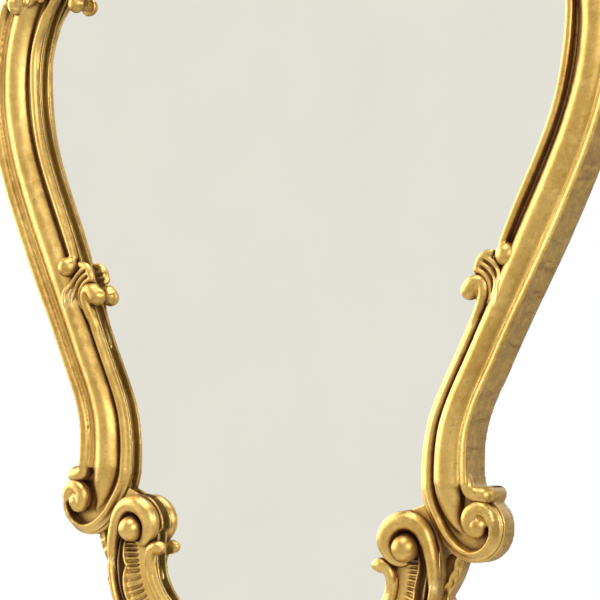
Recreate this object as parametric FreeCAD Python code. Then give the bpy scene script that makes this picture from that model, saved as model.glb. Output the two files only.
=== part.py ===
import FreeCAD
import Part
import math
import os
from FreeCAD import Vector

# Carved and gilded wall mirror, in millimetres.
# x is to the viewer's right and z is up. The wall is the plane y = 0 and the front faces -y.
# A height h is measured forward from the backs of the timbers.

# Wall and glazing stack
BUMPER_T = 5.0          # felt bumper, which keeps the timbers' backs off the wall
BUMPER_R = 11.0
BOARD_T = 5.5
FELT_T = 3.0
GLASS_T = 4.0
GLASS_PLAY = 0.2        # between the glass and the sight lip
LIP_T = 2.3             # wood left in front of the glass at the sight edge
GLASS_BITE = 6.5        # how far the glass runs under the sight lip
REBATE_SIDE_PLAY = 1.2  # between the edge of the glass and the wall of the rebate

# Rail section, measured outward from the sight edge
RAIL_W = 46.0
DRAWN_RAIL_W = 46.0     # the carving's outlines below are drawn for rails of this width
BEAD_SEAT_W = 12.5      # flat seat of the sight bead
DRAWN_SEAT_W = 12.5
GROOVE_DEPTH = 3.0      # dark line between the torus and the outer fillet
TORUS_FOOT = 4.0        # all heights here are above the bead's seat
TORUS_RISE = 13.0
GROOVE_RISE = 9.4
FILLET_RISE = 14.3
TORUS_TOP_AT = 23.0
TORUS_END_AT = 33.5
ARRIS_AT = 36.8
FILLET_AT = 39.2

# Beads and carving
BEAD_RISE = 4.6
DRAWN_BEAD_RISE = 4.6   # the rises in the bead lists below are drawn for this one
BEAD_STEP = 1.5
BALL_R = 8.0
KNOB_R = 7.5
TONGUE_R = 6.0
VOLUTE_EYE_R = 7.6
C_EYE_R = 8.5
CLASP_RISE = 8.0
LEAF_H = 12.5
CLASP_LEAF_T = 6.0      # thickness of the leaves over the torus

# Lower rail
LOWER_FIELD_RISE = 5.0
LOWER_RIDGE_RISE = 9.0
LOWER_BAND_RISE = 9.5

# Crest and apron
CREST_HALF = 40.0
APRON_HALF = 30.0
CREST_RIBS = 7
APRON_RIBS = 5

# Joinery and ironmongery
DOWEL_R = 3.0
DOWEL_L = 36.0
BUTTON_L = 32.0
BUTTON_W = 10.0
BUTTON_T = 1.2
BUTTON_GAP = 0.1
SCREW_R = 1.75
SCREW_PLAY = 0.08
SCREW_L = 11.0
HEAD_R = 3.4
HEAD_T = 1.3
STRAP_W = 13.0
STRAP_L = 38.0
STRAP_T = 1.2
RING_WIRE_R = 1.25
RING_HALF_W = 12.0
RING_LEG = 8.0
RING_PLAY = 0.08
EYE_WALL = 0.85
EYE_L = 12.0
HANGER_X = 288.0
HANGER_Z = 520.0

REBATE_H = BOARD_T + FELT_T + GLASS_T + GLASS_PLAY
SEAT_H = REBATE_H + LIP_T

# Sight edges of the right half, from the crest down: x, z, share of the rail width
JOINT_SHOULDER = (240.0, 592.0)
SHOULDER_DIR = (0.493, -0.87)
ARCH = [(CREST_HALF, 729.0, 0.98), (110.0, 716.0, 1.0), (162.0, 690.0, 1.02), (198.0, 657.0, 1.04),
        (222.0, 622.0, 1.05), (*JOINT_SHOULDER, 1.05)]
SIDE = [(*JOINT_SHOULDER, 1.05), (251.5, 570.0, 1.05), (259.5, 533.0, 1.04), (250.0, 465.0, 1.02),
        (215.2, 385.0, 1.02), (180.4, 305.0, 0.90), (160.9, 265.0, 0.90), (148.0, 235.0, 0.965),
        (143.2, 209.0, 1.01), (142.6, 185.0, 1.04)]
# For the lower rail also the share of the full relief, which dies away under the C-scroll
LOWER = [(112.4, 134.0, 1.06, 0.12), (112.4, 122.0, 1.08, 0.45), (112.0, 110.0, 1.09, 0.9),
         (109.6, 97.5, 1.08, 1.0), (101.0, 84.0, 1.05, 1.0), (82.0, 68.5, 1.0, 1.0), (56.0, 56.5, 0.96, 1.0),
         (APRON_HALF, 51.0, 0.94, 1.0)]

# Outer line of the big volute, from the foot of the side rail round to the top of its ring
VOLUTE = [(142.6, 185.0), (144.6, 174.0), (149.5, 163.0), (155.5, 152.0), (162.0, 141.5), (169.0, 134.5),
          (178.5, 129.7), (189.0, 128.0), (202.0, 131.0), (211.5, 139.5), (215.5, 152.0), (213.5, 164.5),
          (207.0, 172.5), (198.5, 176.5)]
VOLUTE_EYE = (196.5, 156.0)
# End of the torus inside the volute: place, direction across, width, share of the full rise
TORUS_TAIL = [((156.4, 185.0), (1.0, 0.0), 24.0, 1.0), ((160.0, 172.0), (0.97, 0.24), 21.5, 0.85),
              ((166.5, 160.0), (0.85, 0.52), 16.5, 0.58), ((173.5, 152.0), (0.6, 0.8), 10.0, 0.31),
              ((180.0, 148.0), (0.3, 0.95), 4.5, 0.115)]
LOBE = (202.0, 179.0)
LOBE_R = 6.5
C_CENTRE = (134.0, 138.0)
C_R = 25.5
CROOK = (186.5, 329.0)
SHOULDER_CROOK = (232.0, 589.0)
SHOULDER_TURN = 46.0    # the shoulder clasp is the middle clasp, turned and enlarged
SHOULDER_SCALE = 1.15

# Middle lines of the beads: x, z, width, rise
ARCH_BEAD = [(0.0, 735.4, 11.4, 4.6), (CREST_HALF, 735.2, 11.4, 4.6), (111.2, 722.3, 11.4, 4.6),
             (165.5, 695.6, 11.4, 4.6), (202.6, 661.5, 11.2, 4.6), (217.5, 641.8, 10.0, 4.6),
             (225.5, 633.0, 7.5, 4.4)]
ARCH_BALL = (232.5, 630.5)
UPPER_BEAD = [(219.5, 590.5, 6.0, 4.0), (223.5, 596.0, 8.0, 4.6), (231.0, 598.5, 9.5, 5.0),
              (240.0, 594.5, 10.5, 5.0), (249.0, 584.0, 11.2, 4.8), (257.5, 570.0, 11.4, 4.6),
              (265.9, 533.0, 11.4, 4.6), (256.0, 463.0, 11.4, 4.6), (221.0, 382.0, 11.0, 4.6),
              (212.0, 361.5, 8.5, 4.6)]
UPPER_KNOB = (217.5, 584.0)
UPPER_BALL = (216.2, 355.0)
LOWER_BEAD = [(184.5, 334.5, 5.0, 4.0), (188.8, 338.2, 7.0, 4.6), (194.0, 335.3, 8.0, 5.0),
              (196.2, 329.0, 8.5, 5.0), (193.8, 319.5, 10.0, 4.8), (186.0, 302.3, 10.6, 4.6),
              (166.5, 262.4, 10.6, 4.6), (154.0, 233.6, 11.2, 4.6), (149.4, 208.7, 11.6, 4.7),
              (149.0, 186.0, 12.0, 5.0)]
VOLUTE_RING = [(149.0, 186.0, 12.0, 5.0), (151.0, 173.0, 11.6, 5.2), (157.0, 160.6, 11.0, 5.8),
               (165.0, 148.6, 10.2, 6.5), (175.0, 139.2, 9.8, 7.2), (187.3, 133.9, 9.5, 8.0),
               (199.5, 136.3, 9.0, 9.0), (207.5, 144.5, 9.2, 10.0), (209.9, 155.5, 9.6, 11.0),
               (206.0, 165.2, 9.4, 11.8), (197.8, 169.4, 9.0, 12.2), (190.0, 165.8, 8.0, 12.4),
               (188.0, 158.5, 7.0, 12.2), (190.6, 152.8, 6.0, 11.6)]
FILLET_TAIL = [(186.9, 192.0, 7.6, 14.0), (187.4, 184.0, 8.4, 13.4), (191.5, 178.6, 9.4, 12.0),
               (197.0, 177.2, 10.4, 10.0), (202.0, 178.6, 10.6, 8.0)]
LOWER_KNOB = (183.5, 329.5)
FOOT_BEAD = [(112.8, 119.0, 8.0, 5.0), (118.4, 111.0, 11.4, 4.8), (116.3, 96.8, 11.4, 4.6),
             (105.9, 79.7, 11.2, 4.6), (85.2, 63.2, 11.0, 4.6), (57.9, 50.8, 10.8, 4.6),
             (APRON_HALF, 45.2, 10.8, 4.6), (0.0, 44.8, 10.8, 4.6)]
TONGUE = (109.5, 121.5)
C_RING = [(144.5, 127.0, 4.0, 6.0), (140.0, 122.0, 6.0, 7.0), (132.0, 119.4, 8.0, 8.0),
          (123.2, 122.2, 10.5, 8.6), (116.9, 130.0, 12.5, 9.0), (115.5, 141.0, 13.5, 9.2),
          (120.2, 150.8, 13.5, 9.6), (130.0, 156.6, 12.8, 10.0), (140.6, 155.8, 11.6, 10.2),
          (149.4, 148.6, 10.2, 10.2), (154.6, 137.0, 9.4, 10.2), (157.2, 125.0, 8.8, 10.0),
          (157.8, 112.3, 8.2, 9.5)]
CLASP_RIBS = [(16.8, 6.2, -14.0, 92.0), (22.6, 6.0, 0.0, 88.0), (28.0, 5.6, 14.0, 76.0)]
# Leaves over the torus: station counted from the shoulder joint or the crest, half width, swell
SHOULDER_LEAF = [(2, 3.0, 0.25), (1, 8.5, 0.7), (0, 11.0, 1.0), (-2, 11.0, 1.0), (-3, 8.0, 0.7), (-4, 3.0, 0.3)]
CREST_HUSK = [(0, 11.0, 1.0), (1, 10.5, 0.95), (2, 8.5, 0.75), (3, 5.5, 0.5), (4, 2.5, 0.2)]
ARCH_TOP = ARCH[0][1] + RAIL_W * ARCH[0][2]
BOSS = (0.0, ARCH_TOP - 17.08)
BOSS_HALF_W = 36.0
BOSS_HALF_H = 14.5
BOSS_RISE = 15.0
CREST_SCROLL = (66.0, ARCH_TOP + 20.42)
CREST_SCROLL_SCALE = 0.66
SHELL_HINGE = ARCH_TOP + 11.92
CREST_SHOULDER = [(85.0, ARCH_TOP + 38.92), (91.0, ARCH_TOP + 20.92), (88.0, ARCH_TOP - 12.0)]
SHELL_R = 96.0
SHELL_SPREAD = 110.0
SHELL_RISE = 11.0
PENDANT_HINGE = LOWER[-1][1] - 15.0
PENDANT_R = 70.0
PENDANT_SPREAD = 72.0
PENDANT_RISE = 9.0
RIM = 3.0               # the block shows this far outside the shell's edge
RIB_OVERLAP = 1.12      # neighbouring ribs of a shell run into each other
RIB_SHAPE = [(0.12, 0.3, 1.0), (0.5, 1.0, 1.0), (0.86, 0.8, 1.0), (1.0, 0.15, 0.55)]   # reach, rise, width

# Lobed leaves: valley, crest, valley, crest and so on along the free edge, then the hidden edge
CREST_LEAF = [(86.0, 775.0), (98.0, 795.0), (108.0, 780.0), (121.0, 787.0), (129.0, 771.0), (142.0, 774.0),
              (149.0, 758.0), (162.0, 757.0), (168.0, 742.0), (180.0, 737.0), (184.0, 718.0)]
CREST_LEAF_BACK = [(165.0, 715.0), (120.0, 742.0), (84.0, 755.0)]
FOOT_LEAF = [(180.0, 131.0), (174.0, 115.0), (165.5, 101.0), (168.5, 90.0), (160.5, 82.5), (159.5, 70.0),
             (150.5, 63.5), (146.5, 51.5), (138.5, 48.5), (131.0, 39.0), (119.0, 33.0)]
FOOT_LEAF_BACK = [(110.0, 50.0), (148.0, 90.0), (152.0, 128.0)]


def at(x, z, h):
    return Vector(x, -(BUMPER_T + h), z)


def flat_curve(points):
    """Smooth curve through front-view points."""
    curve = Part.BSplineCurve()
    curve.interpolate([Vector(p[0], 0, p[1]) for p in points])
    return curve


def stations(points, start=None, end=None, between=1):
    """Point, outward normal and values along a path, with extra stations between its points."""
    curve = flat_curve(points)
    marks = [curve.parameter(Vector(p[0], 0, p[1])) for p in points]
    found = []
    for i in range(len(points) - 1):
        for j in range(between + 1):
            f = j / (between + 1.0)
            values = [a + (b - a) * f for a, b in zip(points[i][2:], points[i + 1][2:])]
            found.append((marks[i] + (marks[i + 1] - marks[i]) * f, values))
    found.append((marks[-1], list(points[-1][2:])))
    line = []
    for t, values in found:
        p = curve.value(t)
        d = curve.tangent(t)[0]
        if start and t == marks[0]:
            d = Vector(start[0], 0, start[1]).normalize()
        if end and t == marks[-1]:
            d = Vector(end[0], 0, end[1]).normalize()
        line.append(((p.x, p.z), (-d.z, d.x), values))
    return line


def section(spot, normal, outline):
    """Closed wire across a path. An outline entry is a corner, or a curve's middle and end."""
    def place(v, h):
        return at(spot[0] + normal[0] * v, spot[1] + normal[1] * v, h)
    edges = []
    here = place(*outline[0])
    for entry in outline[1:] + [outline[0]]:
        if len(entry) == 4:
            middle, there = place(*entry[:2]), place(*entry[2:])
            swell = Part.BSplineCurve()
            swell.interpolate([here, middle, there])
            edges.append(swell.toShape())
        else:
            there = place(*entry)
            edges.append(Part.LineSegment(here, there).toShape())
        here = there
    return Part.Wire(edges)


def loft(wires):
    return Part.makeLoft(wires, True, False)


def prism(wire, low, high):
    """Solid between two heights on a front-view outline drawn at y = 0."""
    face = Part.Face(wire)
    face.translate(Vector(0, -(BUMPER_T + low), 0))
    return face.extrude(Vector(0, low - high, 0))


def straight(p, q):
    return Part.LineSegment(Vector(p[0], 0, p[1]), Vector(q[0], 0, q[1])).toShape()


def closed_line(*pieces):
    """Front-view outline made from point lists; each list is one smooth curve or one straight line."""
    edges = []
    last = None
    for piece in pieces:
        if last and (abs(last[0] - piece[0][0]) > 1e-6 or abs(last[1] - piece[0][1]) > 1e-6):
            edges.append(straight(last, piece[0]))
        if len(piece) == 2:
            edges.append(straight(piece[0], piece[1]))
        else:
            edges.append(flat_curve(piece).toShape())
        last = piece[-1]
    first = pieces[0][0]
    if abs(last[0] - first[0]) > 1e-6 or abs(last[1] - first[1]) > 1e-6:
        edges.append(straight(last, first))
    return Part.Wire(edges)


def dome(x, z, radius, centre_h, floor_h):
    """Part of a ball that stands on a flat seat."""
    low = math.degrees(math.asin(max(-1.0, min(1.0, (floor_h - centre_h) / radius))))
    return Part.makeSphere(radius, at(x, z, centre_h), Vector(0, -1, 0), low, 90, 360)


def rod(x, z, h, direction, radius, length):
    """Round bar centred on a point, lying in the plane of the frame."""
    d = Vector(direction[0], 0, direction[1]).normalize()
    return Part.makeCylinder(radius, length, at(x, z, h) - d * (length / 2), d)


def mirrored(shape):
    return shape.mirror(Vector(0, 0, 0), Vector(1, 0, 0))


parts = {}


def pair(name, shape):
    parts[name + "_right"] = shape
    parts[name + "_left"] = mirrored(shape)


# Timbers
def across(drawn, share):
    """Distance out from the sight edge of a point of the drawn section: the seat first, then the moulding."""
    if drawn <= DRAWN_SEAT_W:
        return share * drawn * BEAD_SEAT_W / DRAWN_SEAT_W
    stretch = (RAIL_W - BEAD_SEAT_W) / (DRAWN_RAIL_W - DRAWN_SEAT_W)
    return share * (BEAD_SEAT_W + (drawn - DRAWN_SEAT_W) * stretch)


def rail_outline(share):
    s = SEAT_H

    def v(drawn):
        return across(drawn, share)
    return [(0, 0), (0, s), (v(DRAWN_SEAT_W), s), (v(DRAWN_SEAT_W + 0.6), s + TORUS_FOOT),
            (v(TORUS_TOP_AT), s + TORUS_RISE, v(TORUS_END_AT), s + GROOVE_RISE - 0.3),
            (v((TORUS_END_AT + ARRIS_AT) / 2), s + GROOVE_RISE - 1.2, v(ARRIS_AT), s + GROOVE_RISE),
            (v(ARRIS_AT + 1.2), s + GROOVE_RISE - GROOVE_DEPTH), (v(FILLET_AT), s + FILLET_RISE - 2.8),
            (v((FILLET_AT + DRAWN_RAIL_W) / 2), s + FILLET_RISE - 0.2, v(DRAWN_RAIL_W), s + FILLET_RISE),
            (v(DRAWN_RAIL_W), 0)]


def lower_outline(share, relief):
    s = SEAT_H
    low = s + 0.3 + 0.7 * relief
    field = s + 0.3 + LOWER_FIELD_RISE * relief
    ridge = s + 0.3 + LOWER_RIDGE_RISE * relief
    band = s + 0.3 + LOWER_BAND_RISE * relief

    def v(drawn):
        return across(drawn, share)
    return [(0, 0), (0, s), (v(DRAWN_SEAT_W), s),
            (v(20.0), s + 0.2 + relief, v(28.0), field),
            (v(32.0), ridge, v(36.5), field),
            (v(37.2), low), (v(38.4), low),
            (v(42.3), band, v(DRAWN_RAIL_W), field), (v(DRAWN_RAIL_W), 0)]


arch_line = stations(ARCH, (1, 0), SHOULDER_DIR)
side_line = stations(SIDE, SHOULDER_DIR, (0, -1))
lower_line = stations(LOWER, (0, -1), (-1, 0))


def outside(points, line):
    """Front-view points drawn beside a rail, moved out as far as the rail's outer edge has moved."""
    moved = []
    for x, z in points:
        spot, normal, values = min(line, key=lambda e: math.hypot(e[0][0] - x, e[0][1] - z))
        out = values[0] * (RAIL_W - DRAWN_RAIL_W)
        moved.append((x + normal[0] * out, z + normal[1] * out))
    return moved


def glass_line(bite):
    """Edge of the glass or of its rebate, a set distance outside the sight edge."""
    half = [(0.0, ARCH[0][1] + bite)]
    for line, skip in ((arch_line, 2), (side_line, 2), (lower_line, 2)):
        half += [(p[0] + n[0] * bite, p[1] + n[1] * bite) for p, n, values in line[::skip]]
        if line is side_line:
            half += [(144.6 + bite, 171.0), (132.0 + bite, 142.0)]
    tidy = [half[0]]
    for p in half[1:]:
        if math.hypot(p[0] - tidy[-1][0], p[1] - tidy[-1][1]) > 5.0:
            tidy.append(p)
    foot = (0.0, LOWER[-1][1] - bite)
    ring = tidy + [foot] + [(-p[0], p[1]) for p in reversed(tidy[1:])]
    curve = Part.BSplineCurve()
    curve.interpolate(Points=[Vector(p[0], 0, p[1]) for p in ring], PeriodicFlag=True)
    return Part.Wire([curve.toShape()])


rebate = prism(glass_line(GLASS_BITE + REBATE_SIDE_PLAY), -1.0, REBATE_H)

arch_rail = loft([section(p, n, rail_outline(v[0])) for p, n, v in arch_line])
side_rail = loft([section(p, n, rail_outline(v[0])) for p, n, v in side_line])
lower_rail = loft([section(p, n, lower_outline(v[0], v[1])) for p, n, v in lower_line])

# Foot of the side rail: a flat scroll block, the end of the torus dying into it, and the lobe of the fillet
side_foot = side_line[-1]
foot_w = RAIL_W * side_foot[2][0]
foot_outer = (side_foot[0][0] + foot_w, side_foot[0][1])
volute_wire = closed_line(VOLUTE, [VOLUTE[-1], foot_outer])
scroll_block = prism(volute_wire, 0, SEAT_H)
tail = []
for spot, normal, width, share in TORUS_TAIL:
    rise = share * TORUS_RISE
    tail.append(section(spot, normal, [(0, SEAT_H - 1), (0, SEAT_H + 0.25 * rise),
                                       (width * 0.42, SEAT_H + rise, width, SEAT_H + 0.4 * rise),
                                       (width, SEAT_H - 1)]))
lobe = Part.makeCylinder(LOBE_R, SEAT_H, at(LOBE[0], LOBE[1], 0), Vector(0, -1, 0))
lobe = lobe.fuse(dome(LOBE[0], LOBE[1], LOBE_R, SEAT_H + 2.0, SEAT_H))
curl = []
foot_shift = (RAIL_W - DRAWN_RAIL_W) * side_foot[2][0]
curl_points = [(x + foot_shift, z, width, rise) for x, z, width, rise in FILLET_TAIL]
for spot, normal, (width, rise) in stations(curl_points):
    curl.append(section(spot, normal, [(-width / 2, 0), (-width / 2, SEAT_H + 0.75 * rise),
                                       (0, SEAT_H + rise, width / 2, SEAT_H + 0.8 * rise), (width / 2, 0)]))
side_rail = side_rail.fuse([scroll_block, loft(tail), loft(curl), lobe]).removeSplitter()

# Head of the lower rail: a round block under the C-scroll, fitted against the scroll block
head_w = across(DRAWN_RAIL_W, LOWER[0][2])
cx, cz = C_CENTRE
head_r = C_R + 1.0
h45 = head_r * math.sqrt(0.5)
head_arc = Part.Arc(Vector(cx - head_r, 0, cz), Vector(cx - h45, 0, cz + h45),
                    Vector(cx, 0, cz + head_r)).toShape()
head_corners = [(cx, cz + head_r), (150.0, 171.0), (LOWER[0][0] + head_w, cz),
                (LOWER[0][0] + head_w, LOWER[0][1]), (LOWER[0][0], LOWER[0][1]), (cx - head_r, cz)]
head_edges = [straight(p, q) for p, q in zip(head_corners, head_corners[1:])]
head_block = prism(Part.Wire([head_arc] + head_edges), 0, SEAT_H).cut([scroll_block, side_rail])
lower_rail = lower_rail.fuse(head_block).removeSplitter()

# Crest and apron blocks between the rails


def shell_rim(hinge, reach, count, spread, up, extra):
    """Free edge of a scallop shell, right to left: valley, crest, valley and so on."""
    rim = []
    for i in range(2 * count + 1):
        turn = math.radians(spread / 2 - spread * i / (2.0 * count))
        r = reach * (0.86 + 0.14 * math.cos(turn)) * (1.0 if i % 2 else 0.92) + extra
        rim.append((math.sin(turn) * r, hinge + up * math.cos(turn) * r))
    return rim


def block(rim, corners):
    """Board with a lobed free edge, closed by straight and hollow sides on the right, mirrored on the left."""
    edges = []
    for i in range(0, len(rim) - 2, 2):
        a, b, c = [Vector(p[0], 0, p[1]) for p in rim[i:i + 3]]
        edges.append(Part.Arc(a, b, c).toShape())
    right = [rim[0]] + corners
    left = [(-p[0], p[1]) for p in right]
    line = [rim[-1]] + left[1:] + list(reversed(right))
    for p, q in zip(line, line[1:]):
        edges.append(straight(p, q))
    return prism(Part.Wire(edges), 0, SEAT_H)


crest_rim = shell_rim(SHELL_HINGE, SHELL_R, CREST_RIBS, SHELL_SPREAD, 1, RIM)
crest_block = block(crest_rim, CREST_SHOULDER + [(CREST_HALF, ARCH_TOP - 8.0), (CREST_HALF, ARCH[0][1])])
crest_block = crest_block.cut([arch_rail, mirrored(arch_rail)])
apron_low = LOWER[-1][1] - RAIL_W * LOWER[-1][2]
apron_rim = shell_rim(PENDANT_HINGE, PENDANT_R, APRON_RIBS, PENDANT_SPREAD, -1, RIM)
apron_block = block(apron_rim, [(APRON_HALF, apron_low), (APRON_HALF, LOWER[-1][1])])

side_rail = side_rail.cut(rebate)
lower_rail = lower_rail.cut(rebate)
arch_rail = arch_rail.cut(rebate)
crest_block = crest_block.cut(rebate)
apron_block = apron_block.cut(rebate)


# Sight beads, with their balls, crooks and knobs
def bead_outline(width, rise):
    """Broad bead: a small step at the sight edge, then a round that dies out at the torus."""
    half = width / 2
    s = SEAT_H
    step = min(BEAD_STEP, 0.3 * rise)
    lift = rise * BEAD_RISE / DRAWN_BEAD_RISE
    return [(-half, s), (-half, s + step), (-0.26 * width, s + step + 0.2),
            (0.14 * width, s + lift, half, s + 0.8), (half, s)]


def slim_outline(width, rise):
    """Slim bead: the round stands at the sight edge, with an open groove between it and the torus."""
    half = width / 2
    s = SEAT_H
    lift = rise * BEAD_RISE / DRAWN_BEAD_RISE
    return [(-half, s), (-half, s + 0.35 * lift), (-0.14 * width, s + lift, 0.16 * width, s + 0.5),
            (half, s + 0.3), (half, s)]


def bead(points, start=None, end=None, outline=bead_outline):
    return loft([section(p, n, outline(v[0], v[1])) for p, n, v in stations(points, start, end)])


def ball(spot, radius, lift):
    return dome(spot[0], spot[1], radius, SEAT_H + lift, SEAT_H)


arch_bead = bead(ARCH_BEAD, (1, 0), None, slim_outline).fuse(ball(ARCH_BALL, BALL_R, 3.0)).cut(arch_rail)
upper_balls = [ball(UPPER_KNOB, BALL_R, 1.5), ball(UPPER_BALL, BALL_R, 3.0)]
upper_bead = bead(UPPER_BEAD, outline=slim_outline).fuse(upper_balls).cut([side_rail, arch_rail])
volute_ring = bead(VOLUTE_RING, (0, -1), None)
lower_bead = bead(LOWER_BEAD, None, (0, -1)).fuse([volute_ring, ball(LOWER_KNOB, KNOB_R, 1.5)]).cut(side_rail)
c_ring = bead(C_RING)
c_scroll = c_ring.cut(lower_rail)
foot_bead = bead(FOOT_BEAD, None, (-1, 0)).fuse(ball(TONGUE, TONGUE_R, 1.5)).cut([lower_rail, c_ring])

# Clasp shells: curved ribs round the crook
def rib_section(radius, width):
    s = SEAT_H
    return section(CROOK, (1, 0), [(radius - width / 2, s), (radius - width / 2, s + 1.5),
                                   (radius, s + CLASP_RISE, radius + width / 2, s + 1.5),
                                   (radius + width / 2, s)])


ribs = []
for radius, width, low, high in CLASP_RIBS:
    rib = Part.Face(rib_section(radius, width + 0.2)).revolve(at(*CROOK, 0), Vector(0, -1, 0), high - low)
    rib.rotate(at(*CROOK, 0), Vector(0, -1, 0), low)
    tip = math.radians(high)
    ribs.append(rib)
    ribs.append(dome(CROOK[0] + radius * math.cos(tip), CROOK[1] + radius * math.sin(tip), width / 2 + 0.1,
                     SEAT_H + CLASP_RISE - width / 2 - 0.1, SEAT_H))
clasp = ribs[0].fuse(ribs[1:])
shoulder_clasp = clasp.copy()
shoulder_clasp.scale(SHOULDER_SCALE, at(*CROOK, SEAT_H))
shoulder_clasp.rotate(at(*CROOK, 0), Vector(0, -1, 0), SHOULDER_TURN)
shoulder_clasp.translate(Vector(SHOULDER_CROOK[0] - CROOK[0], 0, SHOULDER_CROOK[1] - CROOK[1]))
clasp = clasp.cut([side_rail, lower_bead, upper_bead])
shoulder_clasp = shoulder_clasp.cut([arch_rail, side_rail, upper_bead, arch_bead])

# Eyes of the scrolls
volute_eye = Part.makeCylinder(VOLUTE_EYE_R, 6.0, at(*VOLUTE_EYE, SEAT_H), Vector(0, -1, 0))
volute_eye = volute_eye.fuse(dome(*VOLUTE_EYE, VOLUTE_EYE_R, SEAT_H + 6.0, SEAT_H + 6.0))
volute_eye = volute_eye.cut([lower_bead, side_rail])
c_eye = dome(C_CENTRE[0] + 0.5, C_CENTRE[1] + 1.0, C_EYE_R, SEAT_H + 6.5, SEAT_H)
c_eye_seated = c_eye.cut([c_scroll, lower_rail])

# Leaves that clasp the torus: at the shoulder joint, and at the crest end of the arch
def saddle(line, start, marks, cutters):
    middle = across(TORUS_TOP_AT + 1.0, 1.0)
    wires = []
    for mark, half, swell in marks:
        spot, normal, values = line[start + mark]
        k = values[0]
        high = SEAT_H + TORUS_RISE + CLASP_LEAF_T * swell
        edge = high - 3.0 - 3.5 * (half / 11.0) ** 2
        left, right = middle * k - half, middle * k + half
        wires.append(section(spot, normal, [(left, SEAT_H + 1), (left, edge), (middle * k, high, right, edge),
                                            (right, SEAT_H + 1)]))
    return loft(wires).cut(cutters)


shoulder_leaf = saddle(arch_line + side_line[1:], len(arch_line) - 1, SHOULDER_LEAF,
                       [arch_rail, side_rail, arch_bead, upper_bead, shoulder_clasp])
crest_husk = saddle(arch_line, 0, CREST_HUSK, [arch_rail, arch_bead])


# Lobed leaves outside the rails
def lobed(edge, back, cutters):
    line = []
    for i in range(0, len(edge) - 2, 2):
        a, b, c = [Vector(p[0], 0, p[1]) for p in edge[i:i + 3]]
        line.append(Part.Arc(a, b, c).toShape())
    corners = [edge[-1]] + back + [edge[0]]
    for p, q in zip(corners, corners[1:]):
        line.append(straight(p, q))
    return prism(Part.Wire(line), 0, LEAF_H).cut(cutters)


crest_leaf = lobed(outside(CREST_LEAF, arch_line), CREST_LEAF_BACK, [arch_rail, crest_block])
foot_leaf = lobed(outside(FOOT_LEAF, lower_line), FOOT_LEAF_BACK, [lower_rail, side_rail])


# Scallop shells: ribs that fan out from a hinge
def shell(hinge, reach, count, spread, up, rise):
    step = spread / count
    fan = []
    for i in range(count):
        turn = math.radians(-spread / 2 + step * (i + 0.5))
        d = (math.sin(turn), up * math.cos(turn))
        n = (d[1], -d[0])
        wide = 2 * math.tan(math.radians(step) / 2) * RIB_OVERLAP
        long = reach * (0.86 + 0.14 * math.cos(turn))
        wires = []
        for share, swell, spread_share in RIB_SHAPE:
            r = long * share
            half = wide * r / 2 * spread_share
            edge = SEAT_H + 0.4 + 0.45 * rise * swell
            wires.append(section((d[0] * r, hinge + d[1] * r), n,
                                 [(-half, SEAT_H), (-half, edge),
                                  (0, SEAT_H + 1.0 + rise * swell, half, edge), (half, SEAT_H)]))
        fan.append(loft(wires))
    return fan[0].fuse(fan[1:])


crest_shell = shell(SHELL_HINGE, SHELL_R, CREST_RIBS, SHELL_SPREAD, 1, SHELL_RISE)
crest_shell = crest_shell.fuse(dome(0, SHELL_HINGE + 2.0, 16.0, SEAT_H - 8.0, SEAT_H))

# Cushion-shaped boss between the two arches
stretch = FreeCAD.Matrix()
stretch.scale(Vector(BOSS_HALF_W, BOSS_RISE, BOSS_HALF_H))
crest_boss = Part.makeSphere(1.0, Vector(0, 0, 0), Vector(0, -1, 0), 0, 90, 360).transformGeometry(stretch)
crest_boss.translate(at(*BOSS, SEAT_H))
pendant = shell(PENDANT_HINGE, PENDANT_R, APRON_RIBS, PENDANT_SPREAD, -1, PENDANT_RISE)
pendant = pendant.fuse(dome(0, PENDANT_HINGE - 6.0, 8.0, SEAT_H + 2.0, SEAT_H))
pendant = pendant.cut([foot_bead, mirrored(foot_bead)])

# Small crest scrolls: the C-scroll, upside down and reduced
floor = Part.makeCylinder(C_R - 5.0, 1.2, at(*C_CENTRE, SEAT_H), Vector(0, -1, 0))
crest_scroll = c_ring.fuse([c_eye, floor]).mirror(at(*C_CENTRE, SEAT_H), Vector(0, 0, 1))
crest_scroll.scale(CREST_SCROLL_SCALE, at(*C_CENTRE, SEAT_H))
crest_scroll.translate(Vector(CREST_SCROLL[0] - C_CENTRE[0], 0, CREST_SCROLL[1] - C_CENTRE[1]))

# Dowels across the timber joints: x, z, direction, length, the two timbers
shoulder_n = (-SHOULDER_DIR[1], SHOULDER_DIR[0])
shoulder_x, shoulder_z = JOINT_SHOULDER
DOWELS = [(CREST_HALF, ARCH[0][1] + 20.0, (1, 0), DOWEL_L), (CREST_HALF, ARCH[0][1] + 34.0, (1, 0), DOWEL_L),
          (shoulder_x + shoulder_n[0] * 20.0, shoulder_z + shoulder_n[1] * 20.0, SHOULDER_DIR, DOWEL_L),
          (shoulder_x + shoulder_n[0] * 38.0, shoulder_z + shoulder_n[1] * 38.0, SHOULDER_DIR, DOWEL_L),
          (156.8, 150.6, (0.87, 0.5), 0.45 * DOWEL_L), (162.2, 141.4, (0.87, 0.5), 0.45 * DOWEL_L),
          (APRON_HALF, LOWER[-1][1] - 18.0, (1, 0), DOWEL_L),
          (APRON_HALF, LOWER[-1][1] - 34.0, (1, 0), DOWEL_L)]
DOWEL_H = 7.5
dowels = [rod(x, z, DOWEL_H, d, DOWEL_R, length) for x, z, d, length in DOWELS]

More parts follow.
